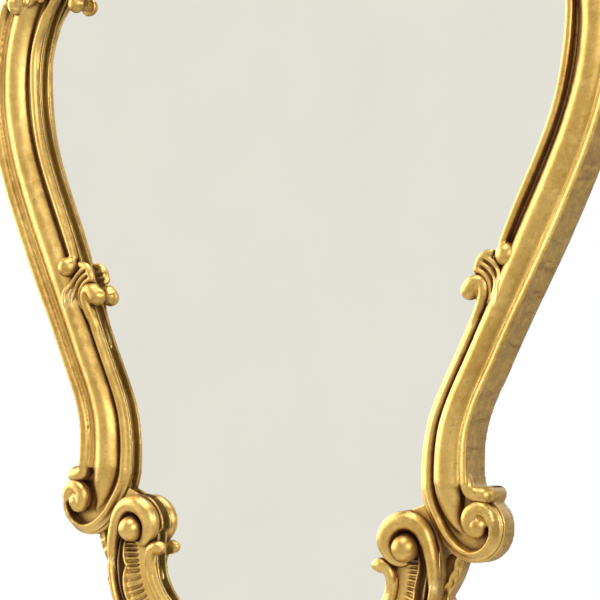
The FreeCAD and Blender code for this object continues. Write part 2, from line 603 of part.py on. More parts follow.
# Turn buttons that hold the backing board: place along the rails, as line and station
BUTTONS = {"arch": arch_line[2], "upper": side_line[5], "waist": side_line[9], "foot": lower_line[10]}
PIVOT_OUT = GLASS_BITE + REBATE_SIDE_PLAY + BUTTON_W / 2 + 1.5
button_hole_r = SCREW_R + SCREW_PLAY
button_screws = []
pilot_holes = []
for name, (spot, normal, values) in BUTTONS.items():
    px, pz = spot[0] + normal[0] * PIVOT_OUT, spot[1] + normal[1] * PIVOT_OUT
    reach = BUTTON_L - BUTTON_W
    low = BUTTON_GAP + BUTTON_T
    base = at(px, pz, -low)
    tip = at(px - normal[0] * reach, pz - normal[1] * reach, -low)
    side = Vector(normal[1], 0, -normal[0]) * (BUTTON_W / 2)
    strip = Part.Face(Part.makePolygon([base + side, tip + side, tip - side, base - side, base + side]))
    plate = strip.extrude(Vector(0, -BUTTON_T, 0))
    for end in (base, tip):
        plate = plate.fuse(Part.makeCylinder(BUTTON_W / 2, BUTTON_T, end, Vector(0, -1, 0)))
    hole = Part.makeCylinder(button_hole_r, 4 * BUTTON_T, at(px, pz, -3 * BUTTON_T), Vector(0, -1, 0))
    plate = plate.removeSplitter().cut(hole)
    pair("turn_button_" + name, plate)
    print("pivot", name, round(px, 3), round(pz, 3))
    head_h = low + BUTTON_GAP + HEAD_T
    screw = Part.makeCylinder(HEAD_R, HEAD_T, at(px, pz, -head_h), Vector(0, -1, 0))
    screw = screw.fuse(Part.makeCylinder(SCREW_R, SCREW_L, at(px, pz, -head_h + HEAD_T), Vector(0, -1, 0)))
    button_screws.append(screw)
    pilot_holes.append(Part.makeCylinder(SCREW_R, SCREW_L, at(px, pz, -head_h + HEAD_T), Vector(0, -1, 0)))

# Hanging straps with rolled eyes, rings and screws
eye_r = RING_WIRE_R + RING_PLAY + EYE_WALL
eye_h = -eye_r
strap = Part.makeBox(STRAP_W, STRAP_T, STRAP_L, at(HANGER_X - STRAP_W / 2, HANGER_Z - STRAP_L, 0))
strap = strap.fuse(Part.makeCylinder(eye_r, EYE_L, at(HANGER_X - EYE_L / 2, HANGER_Z, eye_h), Vector(1, 0, 0)))
eye_bore = Part.makeCylinder(RING_WIRE_R + RING_PLAY, 2 * EYE_L, at(HANGER_X - EYE_L, HANGER_Z, eye_h),
                             Vector(1, 0, 0))
strap = strap.cut(eye_bore)
hanger_screws = []
for drop in (0.35, 0.78):
    z = HANGER_Z - STRAP_L * drop
    shank = Part.makeCylinder(SCREW_R, SCREW_L, at(HANGER_X, z, -STRAP_T), Vector(0, -1, 0))
    head = Part.makeCylinder(HEAD_R, HEAD_T, at(HANGER_X, z, -STRAP_T - HEAD_T), Vector(0, -1, 0))
    hanger_screws.append(shank.fuse(head))
    pilot_holes.append(shank)
    strap = strap.cut(shank)

corner = 3.0


def ring_at(x, z):
    return at(HANGER_X + x, HANGER_Z + z, eye_h)


w = RING_HALF_W
c45 = corner * (1 - math.sqrt(0.5))
ring_path = Part.Wire([
    Part.LineSegment(ring_at(0, 0), ring_at(w - corner, 0)).toShape(),
    Part.Arc(ring_at(w - corner, 0), ring_at(w - c45, c45), ring_at(w, corner)).toShape(),
    Part.LineSegment(ring_at(w, corner), ring_at(w, RING_LEG)).toShape(),
    Part.Arc(ring_at(w, RING_LEG), ring_at(0, RING_LEG + w), ring_at(-w, RING_LEG)).toShape(),
    Part.LineSegment(ring_at(-w, RING_LEG), ring_at(-w, corner)).toShape(),
    Part.Arc(ring_at(-w, corner), ring_at(-w + c45, c45), ring_at(-w + corner, 0)).toShape(),
    Part.LineSegment(ring_at(-w + corner, 0), ring_at(0, 0)).toShape()])
wire_end = Part.Wire([Part.makeCircle(RING_WIRE_R, ring_at(0, 0), Vector(1, 0, 0))])
hanger_ring = ring_path.makePipeShell([wire_end], True, False)

# Holes in the timbers for dowels and screws
bores = dowels + pilot_holes
side_rail = side_rail.cut(bores)
lower_rail = lower_rail.cut(bores)
arch_rail = arch_rail.cut(bores)
both = bores + [mirrored(b) for b in bores]
crest_block = crest_block.cut(both)
apron_block = apron_block.cut(both)

# All pieces by name
pair("side_rail", side_rail)
pair("lower_rail", lower_rail)
pair("arch_rail", arch_rail)
pair("arch_bead", arch_bead)
pair("upper_bead", upper_bead)
pair("lower_bead", lower_bead)
pair("foot_bead", foot_bead)
pair("clasp_shell", clasp)
pair("shoulder_clasp", shoulder_clasp)
pair("volute_eye", volute_eye)
pair("c_scroll", c_scroll)
pair("c_scroll_eye", c_eye_seated)
pair("shoulder_leaf", shoulder_leaf)
pair("crest_leaf", crest_leaf)
pair("crest_scroll", crest_scroll)
pair("crest_husk", crest_husk)
pair("foot_leaf", foot_leaf)
pair("hanger_strap", strap)
pair("hanger_ring", hanger_ring)
parts["crest_block"] = crest_block
parts["crest_shell"] = crest_shell
parts["crest_boss"] = crest_boss
parts["apron_block"] = apron_block
parts["pendant_shell"] = pendant
parts["mirror_glass"] = prism(glass_line(GLASS_BITE), BOARD_T + FELT_T, BOARD_T + FELT_T + GLASS_T)
parts["felt_sheet"] = prism(glass_line(GLASS_BITE), BOARD_T, BOARD_T + FELT_T)
parts["backing_board"] = prism(glass_line(GLASS_BITE), 0, BOARD_T)
parts["wall_bumper"] = Part.makeCylinder(BUMPER_R, BUMPER_T, at(0, 0, 0), Vector(0, 1, 0))
parts["joint_dowels"] = Part.makeCompound(dowels + [mirrored(d) for d in dowels])
parts["turn_button_screws"] = Part.makeCompound(button_screws + [mirrored(b) for b in button_screws])
parts["hanger_screws"] = Part.makeCompound(hanger_screws + [mirrored(b) for b in hanger_screws])

os.makedirs("parts", exist_ok=True)
for name, shape in parts.items():
    print(name, shape.ShapeType, len(shape.Solids), shape.isValid(), round(shape.Volume, 1))
    shape.exportStep("parts/" + name + ".step")
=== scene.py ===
import math
import bmesh
import bpy
import numpy as np
from mathutils import Matrix, Vector


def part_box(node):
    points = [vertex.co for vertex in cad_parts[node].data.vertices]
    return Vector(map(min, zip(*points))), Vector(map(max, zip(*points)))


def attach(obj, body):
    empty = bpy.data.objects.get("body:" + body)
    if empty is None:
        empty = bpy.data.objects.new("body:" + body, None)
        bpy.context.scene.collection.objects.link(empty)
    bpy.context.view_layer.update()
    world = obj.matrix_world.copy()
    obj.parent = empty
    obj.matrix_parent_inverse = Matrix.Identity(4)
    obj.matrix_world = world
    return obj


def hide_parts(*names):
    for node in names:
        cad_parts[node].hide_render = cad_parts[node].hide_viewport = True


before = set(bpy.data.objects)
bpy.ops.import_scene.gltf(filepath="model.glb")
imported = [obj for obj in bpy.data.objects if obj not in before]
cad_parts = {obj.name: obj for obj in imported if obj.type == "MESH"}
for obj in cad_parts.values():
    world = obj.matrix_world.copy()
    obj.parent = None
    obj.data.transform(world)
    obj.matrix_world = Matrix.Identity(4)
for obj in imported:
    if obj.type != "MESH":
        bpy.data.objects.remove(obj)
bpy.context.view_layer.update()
scene = bpy.context.scene

# Studio: the mirror stands before a white ground, and a pale room in front of it is what the glass shows.
# The room is brightest straight ahead and dimmer at its sides, ceiling and floor.
# That gives the gilding its bright faces and its dark flanks.
GROUND = (1.0, 1.0, 1.0, 1.0)
ROOM = (0.80, 0.785, 0.70, 1.0)
ROOM_SIDES = (0.30, 0.285, 0.25, 1.0)
WALL_BEHIND = (0.46, 0.44, 0.40, 1.0)
AMBIENT = 0.5
FLOOR_R = 0.85
FLOOR_Z = -0.3
FLOOR_CORNERS = 96
world = bpy.data.worlds.new("studio")
scene.world = world
world.use_nodes = True
sky = world.node_tree
sky.nodes.clear()
towards = sky.nodes.new("ShaderNodeSeparateXYZ")
steep = sky.nodes.new("ShaderNodeMath")
steep.operation = "ABSOLUTE"
level_band = sky.nodes.new("ShaderNodeMapRange")
level_band.interpolation_type = "SMOOTHSTEP"
level_band.inputs["From Min"].default_value = 0.62
level_band.inputs["From Max"].default_value = 0.22
ahead = sky.nodes.new("ShaderNodeMapRange")
ahead.interpolation_type = "SMOOTHSTEP"
ahead.inputs["From Min"].default_value = -0.12
ahead.inputs["From Max"].default_value = -0.62
lit = sky.nodes.new("ShaderNodeMath")
lit.operation = "MULTIPLY"
room = sky.nodes.new("ShaderNodeMix")
room.data_type = "RGBA"
room.inputs[6].default_value = ROOM_SIDES
room.inputs[7].default_value = ROOM
behind = sky.nodes.new("ShaderNodeMapRange")
behind.interpolation_type = "SMOOTHSTEP"
behind.inputs["From Min"].default_value = 0.1
behind.inputs["From Max"].default_value = 0.5
round_us = sky.nodes.new("ShaderNodeMix")
round_us.data_type = "RGBA"
round_us.inputs[7].default_value = WALL_BEHIND
where = sky.nodes.new("ShaderNodeTexCoord")
path = sky.nodes.new("ShaderNodeLightPath")
straight = sky.nodes.new("ShaderNodeMath")
straight.operation = "MAXIMUM"
seen = sky.nodes.new("ShaderNodeMath")
seen.operation = "MAXIMUM"
shown_sky = sky.nodes.new("ShaderNodeMix")
shown_sky.data_type = "RGBA"
shown_sky.inputs[7].default_value = GROUND
level = sky.nodes.new("ShaderNodeMapRange")
level.inputs["To Min"].default_value = AMBIENT
level.inputs["To Max"].default_value = 1.0
ground = sky.nodes.new("ShaderNodeBackground")
sky_out = sky.nodes.new("ShaderNodeOutputWorld")
sky.links.new(where.outputs["Generated"], towards.inputs[0])
sky.links.new(towards.outputs["Z"], steep.inputs[0])
sky.links.new(steep.outputs[0], level_band.inputs["Value"])
sky.links.new(towards.outputs["Y"], ahead.inputs["Value"])
sky.links.new(level_band.outputs["Result"], lit.inputs[0])
sky.links.new(ahead.outputs["Result"], lit.inputs[1])
sky.links.new(lit.outputs[0], room.inputs["Factor"])
sky.links.new(towards.outputs["Y"], behind.inputs["Value"])
sky.links.new(behind.outputs["Result"], round_us.inputs["Factor"])
sky.links.new(room.outputs[2], round_us.inputs[6])
sky.links.new(path.outputs["Is Camera Ray"], straight.inputs[0])
sky.links.new(path.outputs["Is Transmission Ray"], straight.inputs[1])
sky.links.new(straight.outputs[0], shown_sky.inputs["Factor"])
sky.links.new(round_us.outputs[2], shown_sky.inputs[6])
sky.links.new(shown_sky.outputs[2], ground.inputs["Color"])
sky.links.new(straight.outputs[0], seen.inputs[0])
sky.links.new(path.outputs["Is Glossy Ray"], seen.inputs[1])
sky.links.new(seen.outputs[0], level.inputs["Value"])
sky.links.new(level.outputs["Result"], ground.inputs["Strength"])
sky.links.new(ground.outputs[0], sky_out.inputs["Surface"])
scene.view_settings.view_transform = "Standard"

camera = bpy.data.objects.new("camera", bpy.data.cameras.new("camera"))
camera.data.lens = 120.0
camera.data.sensor_width = 36.0
camera.data.clip_end = 50.0
camera.location = (0.94777, -1.30008, 0.24277)
camera.rotation_euler = [math.radians(a) for a in (92.9607, -1.2683, 35.6744)]
scene.collection.objects.link(camera)
scene.camera = camera

for name, place, aim, size, power in (("key_box", (-2.4, -0.6, 1.0), (0, 0, 0.3), 2.4, 64.0),
                                      ("fill_box", (1.9, -0.9, 1.0), (0.1, 0, 0.3), 0.8, 20.0),
                                      ("top_box", (0.0, -0.7, 2.1), (0, 0, 0.4), 0.9, 20.0),
                                      ("back_box", (0.6, 1.6, 1.3), (0, 0, 0.4), 1.2, 14.0)):
    lamp = bpy.data.objects.new(name, bpy.data.lights.new(name, "AREA"))
    lamp.data.size = size
    lamp.data.energy = power
    lamp.location = place
    lamp.rotation_euler = (Vector(aim) - Vector(place)).to_track_quat("-Z", "Y").to_euler()
    scene.collection.objects.link(lamp)

floor_mesh = bpy.data.meshes.new("floor")
corner_turns = [2 * math.pi * i / FLOOR_CORNERS for i in range(FLOOR_CORNERS)]
floor_edge = [(FLOOR_R * math.cos(turn), FLOOR_R * math.sin(turn), FLOOR_Z) for turn in corner_turns]
floor_mesh.from_pydata(floor_edge, [], [tuple(range(FLOOR_CORNERS))])
floor = bpy.data.objects.new("floor", floor_mesh)
scene.collection.objects.link(floor)
pale = bpy.data.materials.new("pale_floor")
pale.use_nodes = True
pale.node_tree.nodes["Principled BSDF"].inputs["Base Color"].default_value = (0.86, 0.86, 0.85, 1)
pale.node_tree.nodes["Principled BSDF"].inputs["Roughness"].default_value = 0.8
floor_mesh.materials.append(pale)


# Timbers: the side, arch and lower rails, carved in limewood and doweled together.
# Gesso, red bole and gold leaf cover the front and the side walls, and the backs stay bare wood.
BACK_Y = -0.005
LIP_Y = -0.020
GOLD = (0.76, 0.51, 0.155, 1)
# Pale rubbed gold, used also as painted highlight on the arrises.
GOLD_RUBBED_AND_HIGHLIGHT = (0.95, 0.72, 0.31, 1)
GOLD_SHADED = (0.60, 0.365, 0.09, 1)
# Near black painted shadow for the sight lip's inner wall.
LIP_PAINTED_SHADOW = (0.016, 0.013, 0.007, 1)
WALL_OCHRE = (0.37, 0.235, 0.08, 1)
# Dark brown of the toning glaze, scratches and patina, used also as painted shade in hollows and grooves.
GLAZE_AND_SHADE = (0.17, 0.062, 0.016, 1)
# Red bole under the leaf, used also as painted shade in the deepest creases.
BOLE_AND_SHADE = (0.085, 0.022, 0.009, 1)
LIMEWOOD = (0.36, 0.24, 0.13, 1)
LIMEWOOD_PALE = (0.52, 0.38, 0.22, 1)


def nodes_of(material):
    """Empty node tree of a material: its nodes and its links."""
    material.use_nodes = True
    tree = material.node_tree
    tree.nodes.clear()
    return tree.nodes, tree.links


def noise(nodes, links, where, scale, detail=3.0, rough=0.55):
    """Cloudy pattern over the object, from 0 to 1."""
    made = nodes.new("ShaderNodeTexNoise")
    made.inputs["Scale"].default_value = scale
    made.inputs["Detail"].default_value = detail
    made.inputs["Roughness"].default_value = rough
    links.new(where, made.inputs["Vector"])
    return made.outputs["Fac"]


def span(nodes, links, value, low, high, to_low=0.0, to_high=1.0):
    """Soft step of a value from one range to another."""
    made = nodes.new("ShaderNodeMapRange")
    made.interpolation_type = "SMOOTHSTEP"
    made.inputs["From Min"].default_value = low
    made.inputs["From Max"].default_value = high
    made.inputs["To Min"].default_value = to_low
    made.inputs["To Max"].default_value = to_high
    links.new(value, made.inputs["Value"])
    return made.outputs["Result"]


def math_of(nodes, links, kind, a, b):
    """Sum, product or other function of two values, each a number or a socket."""
    made = nodes.new("ShaderNodeMath")
    made.operation = kind
    for i, v in enumerate((a, b)):
        if isinstance(v, (int, float)):
            made.inputs[i].default_value = v
        else:
            links.new(v, made.inputs[i])
    return made.outputs[0]


def blend(nodes, links, share, a, b):
    """Mix of two colours, each a tuple or a socket."""
    made = nodes.new("ShaderNodeMix")
    made.data_type = "RGBA"
    links.new(share, made.inputs["Factor"])
    for socket, v in ((made.inputs[6], a), (made.inputs[7], b)):
        if isinstance(v, tuple):
            socket.default_value = v
        else:
            links.new(v, socket)
    return made.outputs[2]


# Gilding: leaf, bole and glaze, with painted shade in hollows, grooves and on the sight lip's wall, and
# painted highlight on the arrises.
gilding = bpy.data.materials.new("gilding")
nodes, links = nodes_of(gilding)
here = nodes.new("ShaderNodeTexCoord").outputs["Object"]
broad = nodes.new("ShaderNodeAmbientOcclusion")
broad.samples = 8
broad.inputs["Distance"].default_value = 0.02
hollow = nodes.new("ShaderNodeAmbientOcclusion")
hollow.samples = 8
hollow.inputs["Distance"].default_value = 0.006
arris = nodes.new("ShaderNodeAmbientOcclusion")
arris.samples = 8
arris.inside = True
arris.inputs["Distance"].default_value = 0.002
cloudy = noise(nodes, links, here, 16.0, 4.0)
mottle = noise(nodes, links, here, 150.0, 5.0, 0.65)
fine = noise(nodes, links, here, 700.0, 3.0, 0.6)
tone = blend(nodes, links, span(nodes, links, cloudy, 0.30, 0.62), GOLD_SHADED, GOLD)
tone = blend(nodes, links, span(nodes, links, mottle, 0.45, 0.75, 0.0, 0.35), tone, GOLD_RUBBED_AND_HIGHLIGHT)
# Convex edges lighten towards the pale gold: partly rubbed leaf, partly painted highlight.
edge = span(nodes, links, arris.outputs["AO"], 0.60, 0.30)
tone = blend(nodes, links, math_of(nodes, links, "MULTIPLY", edge, 0.55), tone, GOLD_RUBBED_AND_HIGHLIGHT)
true_normal = nodes.new("ShaderNodeNewGeometry").outputs["True Normal"]
facing = nodes.new("ShaderNodeSeparateXYZ")
links.new(true_normal, facing.inputs[0])
face_out = nodes.new("ShaderNodeVectorMath")
face_out.operation = "DOT_PRODUCT"
from_middle = nodes.new("ShaderNodeVectorMath")
from_middle.operation = "SUBTRACT"
from_middle.inputs[1].default_value = (0.0, -0.02, 0.35)
links.new(here, from_middle.inputs[0])
links.new(from_middle.outputs[0], face_out.inputs[0])
links.new(true_normal, face_out.inputs[1])
flat_side = math_of(nodes, links, "ABSOLUTE", facing.outputs["Y"], 0.0)
wall = span(nodes, links, flat_side, 0.30, 0.12)
rub_map = nodes.new("ShaderNodeMapping")
rub_map.inputs["Scale"].default_value = (1.0, 0.25, 1.0)
rub_map.inputs["Rotation"].default_value = (0.35, 0.0, 0.2)
links.new(here, rub_map.inputs["Vector"])
rubs = span(nodes, links, noise(nodes, links, rub_map.outputs[0], 120.0, 5.0, 0.75), 0.53, 0.68)
ochre = blend(nodes, links, span(nodes, links, mottle, 0.4, 0.7), WALL_OCHRE, GOLD_SHADED)
ochre = blend(nodes, links, math_of(nodes, links, "MULTIPLY", rubs, 0.75), ochre, GLAZE_AND_SHADE)
tone = blend(nodes, links, math_of(nodes, links, "MULTIPLY", wall, 0.85), tone, ochre)
apart = nodes.new("ShaderNodeSeparateXYZ")
links.new(here, apart.inputs[0])
carved = span(nodes, links, apart.outputs["Y"], LIP_Y + 0.0004, LIP_Y + 0.0001)
open_face = math_of(nodes, links, "MAXIMUM", carved, span(nodes, links, facing.outputs["Y"], -0.45, -0.7))
in_front = math_of(nodes, links, "MULTIPLY", open_face, span(nodes, links, facing.outputs["Y"], 0.25, 0.05))
# Painted shade: hollows found by occlusion take the dark glaze, partly the toning glaze of old gilding,
# partly painted shade.
shade = math_of(nodes, links, "ADD", broad.outputs["AO"], math_of(nodes, links, "MULTIPLY", mottle, 0.2))
glaze_and_painted_shade = math_of(nodes, links, "MULTIPLY", span(nodes, links, shade, 0.90, 0.46, 0.0, 0.92), in_front)
tone = blend(nodes, links, glaze_and_painted_shade, tone, GLAZE_AND_SHADE)
# Painted shade: the deepest creases, found by short occlusion, turn to red-brown bole, partly bare bole and
# partly painted shade.
depth = math_of(nodes, links, "ADD", hollow.outputs["AO"], math_of(nodes, links, "MULTIPLY", mottle, 0.2))
worn_edges_and_hollow_shade = math_of(nodes, links, "MULTIPLY", span(nodes, links, depth, 0.74, 0.42), in_front)
tone = blend(nodes, links, worn_edges_and_hollow_shade, tone, BOLE_AND_SHADE)
# Glaze and painted shade in the trenches and veins that the carving marks.
groove_glaze_and_shade = nodes.new("ShaderNodeAttribute")
groove_glaze_and_shade.attribute_name = "groove_glaze_and_shade"
grooves_glazed_and_shaded = math_of(nodes, links, "MULTIPLY", groove_glaze_and_shade.outputs["Fac"],
                  span(nodes, links, mottle, 0.25, 0.6, 1.0, 0.7))
tone = blend(nodes, links, grooves_glazed_and_shaded, tone, GLAZE_AND_SHADE)
patina = span(nodes, links, noise(nodes, links, here, 430.0, 4.0, 0.7), 0.54, 0.72, 0.0, 0.42)
tone = blend(nodes, links, patina, tone, GLAZE_AND_SHADE)
specks = span(nodes, links, noise(nodes, links, here, 300.0, 2.0, 0.5), 0.735, 0.79)
tone = blend(nodes, links, math_of(nodes, links, "MULTIPLY", specks, 0.75), tone, BOLE_AND_SHADE)
ragged = math_of(nodes, links, "ADD", apart.outputs["Y"], math_of(nodes, links, "MULTIPLY", cloudy, 0.004))
bare = span(nodes, links, ragged, BACK_Y - 0.0012, BACK_Y + 0.0006)
grain_map = nodes.new("ShaderNodeMapping")
grain_map.inputs["Scale"].default_value = (1.0, 1.0, 0.12)
links.new(here, grain_map.inputs["Vector"])
grain = noise(nodes, links, grain_map.outputs[0], 260.0, 5.0)
wood = blend(nodes, links, span(nodes, links, grain, 0.35, 0.7), LIMEWOOD, LIMEWOOD_PALE)
tone = blend(nodes, links, bare, tone, wood)
# Painted shadow: the inward wall of the sight lip behind the glass line is near black.
inward = span(nodes, links, face_out.outputs["Value"], 0.0, -0.03)
shadowed_sight_wall = math_of(nodes, links, "MULTIPLY", math_of(nodes, links, "SUBTRACT", 1.0, carved),
                     math_of(nodes, links, "MULTIPLY", inward, wall))
tone = blend(nodes, links, shadowed_sight_wall, tone, LIP_PAINTED_SHADOW)
dull = math_of(nodes, links, "MAXIMUM", bare, shadowed_sight_wall)
dull = math_of(nodes, links, "MAXIMUM", dull, worn_edges_and_hollow_shade)
dull = math_of(nodes, links, "MAXIMUM", dull, math_of(nodes, links, "MULTIPLY", wall, 0.75))
dull = math_of(nodes, links, "MAXIMUM", dull, math_of(nodes, links, "MULTIPLY", grooves_glazed_and_shaded, 0.7))
gilt = nodes.new("ShaderNodeBsdfPrincipled")
links.new(tone, gilt.inputs["Base Color"])
links.new(span(nodes, links, dull, 0.0, 1.0, 1.0, 0.1), gilt.inputs["Metallic"])
shine = math_of(nodes, links, "ADD", span(nodes, links, mottle, 0.3, 0.75, 0.36, 0.54),
                math_of(nodes, links, "MULTIPLY", dull, 0.3))
links.new(shine, gilt.inputs["Roughness"])
gilt.inputs["Coat Weight"].default_value = 0.12
gilt.inputs["Coat Roughness"].default_value = 0.22
soft_edge = nodes.new("ShaderNodeBevel")
soft_edge.samples = 6
soft_edge.inputs["Radius"].default_value = 0.0007
knife = nodes.new("ShaderNodeBump")
knife.inputs["Strength"].default_value = 0.2
knife.inputs["Distance"].default_value = 0.0022
links.new(noise(nodes, links, here, 55.0, 2.0), knife.inputs["Height"])
links.new(soft_edge.outputs[0], knife.inputs["Normal"])
leaf = nodes.new("ShaderNodeBump")
leaf.inputs["Strength"].default_value = 0.26
leaf.inputs["Distance"].default_value = 0.0005
leaf_height = math_of(nodes, links, "ADD", mottle, math_of(nodes, links, "MULTIPLY", fine, 0.35))
links.new(leaf_height, leaf.inputs["Height"])
links.new(knife.outputs[0], leaf.inputs["Normal"])
links.new(leaf.outputs[0], gilt.inputs["Normal"])
out = nodes.new("ShaderNodeOutputMaterial")
links.new(gilt.outputs[0], out.inputs["Surface"])


def path_points(path, step=0.9):
    """Smooth run of places through x, z, height and radius, in millimetres in the front view."""
    points = [np.array(point, float) for point in path]
    if len(points) == 1:
        return [tuple(points[0])]
    points = [2 * points[0] - points[1]] + points + [2 * points[-1] - points[-2]]
    run = []
    for a, b, c, d in zip(points, points[1:], points[2:], points[3:]):
        count = max(1, int(np.linalg.norm((c - b)[:2]) / step))
        for i in range(count):
            t = i / count
            run.append(0.5 * (2 * b + (c - a) * t + (2 * a - 5 * b + 4 * c - d) * t ** 2
                              + (3 * b - a - 3 * c + d) * t ** 3))
    run.append(points[-2])
    return [tuple(point) for point in run]


def fresh(*names, rolls=(), side=1, keep=True):
    """Merged copy of CAD nodes' meshes, with round rolls laid over them, or the rolls alone."""
    shell = bmesh.new()
    for name in names:
        if keep:
            shell.from_mesh(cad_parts[name].data)
    bmesh.ops.remove_doubles(shell, verts=shell.verts, dist=2e-6)
    for path in rolls:
        for x, z, height, radius in path_points(path):
            place = Matrix.Translation((side * x / 1000, BACK_Y - height / 1000, z / 1000))
            finer = 3 if radius > 6 else 2
            bmesh.ops.create_icosphere(shell, subdivisions=finer, radius=radius / 1000, matrix=place)
    mesh = bpy.data.meshes.new(names[0] + "_shell")
    shell.to_mesh(mesh)
    shell.free()
    return mesh


def plain(piece):
    """Works the modifiers of a piece into its mesh."""
    piece_now = piece.evaluated_get(bpy.context.evaluated_depsgraph_get())
    made = bpy.data.meshes.new_from_object(piece_now)
    piece.modifiers.clear()
    piece.data = made


def carve(names, mesh_size, soften, rolls=(), side=1, keep=True):
    """Even skin over carved nodes, softened as gesso and leaf soften it, that replaces the nodes."""
    if isinstance(names, str):
        names = (names,)
    piece = bpy.data.objects.new(names[0] + "_carved", fresh(*names, rolls=rolls, side=side, keep=keep))
    scene.collection.objects.link(piece)
    skin = piece.modifiers.new("skin", "REMESH")
    skin.mode = "VOXEL"
    skin.voxel_size = mesh_size
    ease = piece.modifiers.new("ease", "SMOOTH")
    ease.factor = 0.5
    ease.iterations = soften
    plain(piece)
    piece.data.materials.clear()
    piece.data.materials.append(gilding)
    piece.data.polygons.foreach_set("use_smooth", [True] * len(piece.data.polygons))
    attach(piece, "frame")
    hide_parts(*names)
    return piece


# Small lobe where the outer fillet runs out above the volute
# Rolls are rows of x, z, height over the timbers' backs and radius, in millimetres, for the right side.
HANDS = (("left", -1), ("right", 1))
SEAT = 15.0
LOBE_ROLL = [(187.5, 190, SEAT + 9, 4.5), (189, 183.5, SEAT + 8, 5), (194, 179, SEAT + 6.5, 6),
             (200, 178, SEAT + 5, 7)]
for hand, side in HANDS:
    carve("side_rail_" + hand, 0.001, 5, [LOBE_ROLL], side)
    carve("arch_rail_" + hand, 0.0009, 6)


# Lower rails: limewood, with a smooth field inside and a shell ridge that is cut across by short flutes.
# The flutes are gouged by eye along the sight line, three to four millimetres apart.
# Their hollows keep the dark bole with painted shade, and a deep trench, darkened with glaze and painted
# shade, parts the ridge from the outer band.
def joined(tree, kind, settings=None, to=()):
    """A node of a geometry tree, with its settings by name and its inputs by number or name."""
    made = tree.nodes.new(kind)
    for key, value in (settings or {}).items():
        setattr(made, key, value)
    for socket, value in to:
        if hasattr(value, "links"):
            tree.links.new(value, made.inputs[socket])
        else:
            made.inputs[socket].default_value = value
    return made


def sum_of(tree, kind, a, b=0.0):
    """Function of one or two values in a geometry tree."""
    return joined(tree, "ShaderNodeMath", settings={"operation": kind}, to=((0, a), (1, b))).outputs[0]


def ramp_of(tree, value, low, high):
    """Soft step from 0 to 1 in a geometry tree."""
    made = joined(tree, "ShaderNodeMapRange", settings={"interpolation_type": "SMOOTHSTEP"},
                  to=(("Value", value), ("From Min", low), ("From Max", high)))
    return made.outputs["Result"]


LINE_POINTS = 4000
FLUTE_SIZES = ("Spacing", "Depth", "Inner", "Fade", "Lean", "Rim", "Lobe", "Swing", "Lip", "Groove", "Bank",
               "Edge", "Front")
flutes = bpy.data.node_groups.new("gouged_flutes", "GeometryNodeTree")
sockets = {}
for label, kind in (("Geometry", "NodeSocketGeometry"), ("Sight Line", "NodeSocketObject"),
                    *((label, "NodeSocketFloat") for label in FLUTE_SIZES), ("Finish", "NodeSocketMaterial")):
    sockets[label] = flutes.interface.new_socket(label, in_out="INPUT", socket_type=kind).identifier
flutes.interface.new_socket("Geometry", in_out="OUTPUT", socket_type="NodeSocketGeometry")
given = flutes.nodes.new("NodeGroupInput").outputs
line_in = joined(flutes, "GeometryNodeObjectInfo", to=(("Object", given["Sight Line"]),)).outputs["Geometry"]
rounded = joined(flutes, "GeometryNodeCurveSplineType", settings={"spline_type": "CATMULL_ROM"},
                 to=(("Curve", line_in),)).outputs["Curve"]
fine_line = joined(flutes, "GeometryNodeResampleCurve",
                   to=(("Curve", rounded), ("Count", LINE_POINTS))).outputs["Curve"]
along = flutes.nodes.new("GeometryNodeSplineParameter").outputs["Length"]
point_value = {"data_type": "FLOAT", "domain": "POINT"}
marked = joined(flutes, "GeometryNodeStoreNamedAttribute", settings=point_value,
                to=(("Geometry", fine_line), ("Name", "along"), ("Value", along))).outputs["Geometry"]
wire = joined(flutes, "GeometryNodeCurveToMesh", to=(("Curve", marked),)).outputs["Mesh"]
spot = flutes.nodes.new("GeometryNodeInputPosition").outputs[0]
spot_parts = joined(flutes, "ShaderNodeSeparateXYZ", to=((0, spot),)).outputs
front = joined(flutes, "ShaderNodeCombineXYZ",
               to=(("X", spot_parts["X"]), ("Z", spot_parts["Z"]))).outputs[0]
near = joined(flutes, "GeometryNodeProximity", settings={"target_element": "EDGES"},
              to=((0, wire), ("Sample Position", front))).outputs["Distance"]
index = joined(flutes, "GeometryNodeSampleNearest",
               to=((0, wire), ("Sample Position", front))).outputs["Index"]
length_in = joined(flutes, "GeometryNodeInputNamedAttribute", settings={"data_type": "FLOAT"},
                   to=(("Name", "along"),)).outputs["Attribute"]
length = joined(flutes, "GeometryNodeSampleIndex", settings=point_value,
                to=((0, wire), ("Value", length_in), ("Index", index))).outputs["Value"]
leaned = sum_of(flutes, "ADD", length, sum_of(flutes, "MULTIPLY", near, given["Lean"]))
turns = sum_of(flutes, "DIVIDE", leaned, given["Spacing"])
wave = sum_of(flutes, "COSINE", sum_of(flutes, "MULTIPLY", turns, 2 * math.pi))
hollowed = sum_of(flutes, "MULTIPLY", sum_of(flutes, "SUBTRACT", 1.0, wave), 0.5)
lobe_count = sum_of(flutes, "DIVIDE", length, given["Lobe"])
lobes = sum_of(flutes, "ABSOLUTE", sum_of(flutes, "SINE", sum_of(flutes, "MULTIPLY", lobe_count, math.pi)))
rim = sum_of(flutes, "ADD", given["Rim"], sum_of(flutes, "MULTIPLY", lobes, given["Swing"]))
past_rim = sum_of(flutes, "SUBTRACT", near, rim)
rise = ramp_of(flutes, near, given["Inner"], sum_of(flutes, "ADD", given["Inner"], given["Fade"]))
fall = ramp_of(flutes, past_rim, 0.0, sum_of(flutes, "MULTIPLY", given["Edge"], -1.0))
gouged = sum_of(flutes, "MULTIPLY", sum_of(flutes, "MULTIPLY", hollowed, given["Depth"]),
                sum_of(flutes, "MULTIPLY", rise, fall))
crown = ramp_of(flutes, sum_of(flutes, "ABSOLUTE", past_rim), given["Edge"], 0.0)
raised = sum_of(flutes, "MULTIPLY", crown, given["Lip"])
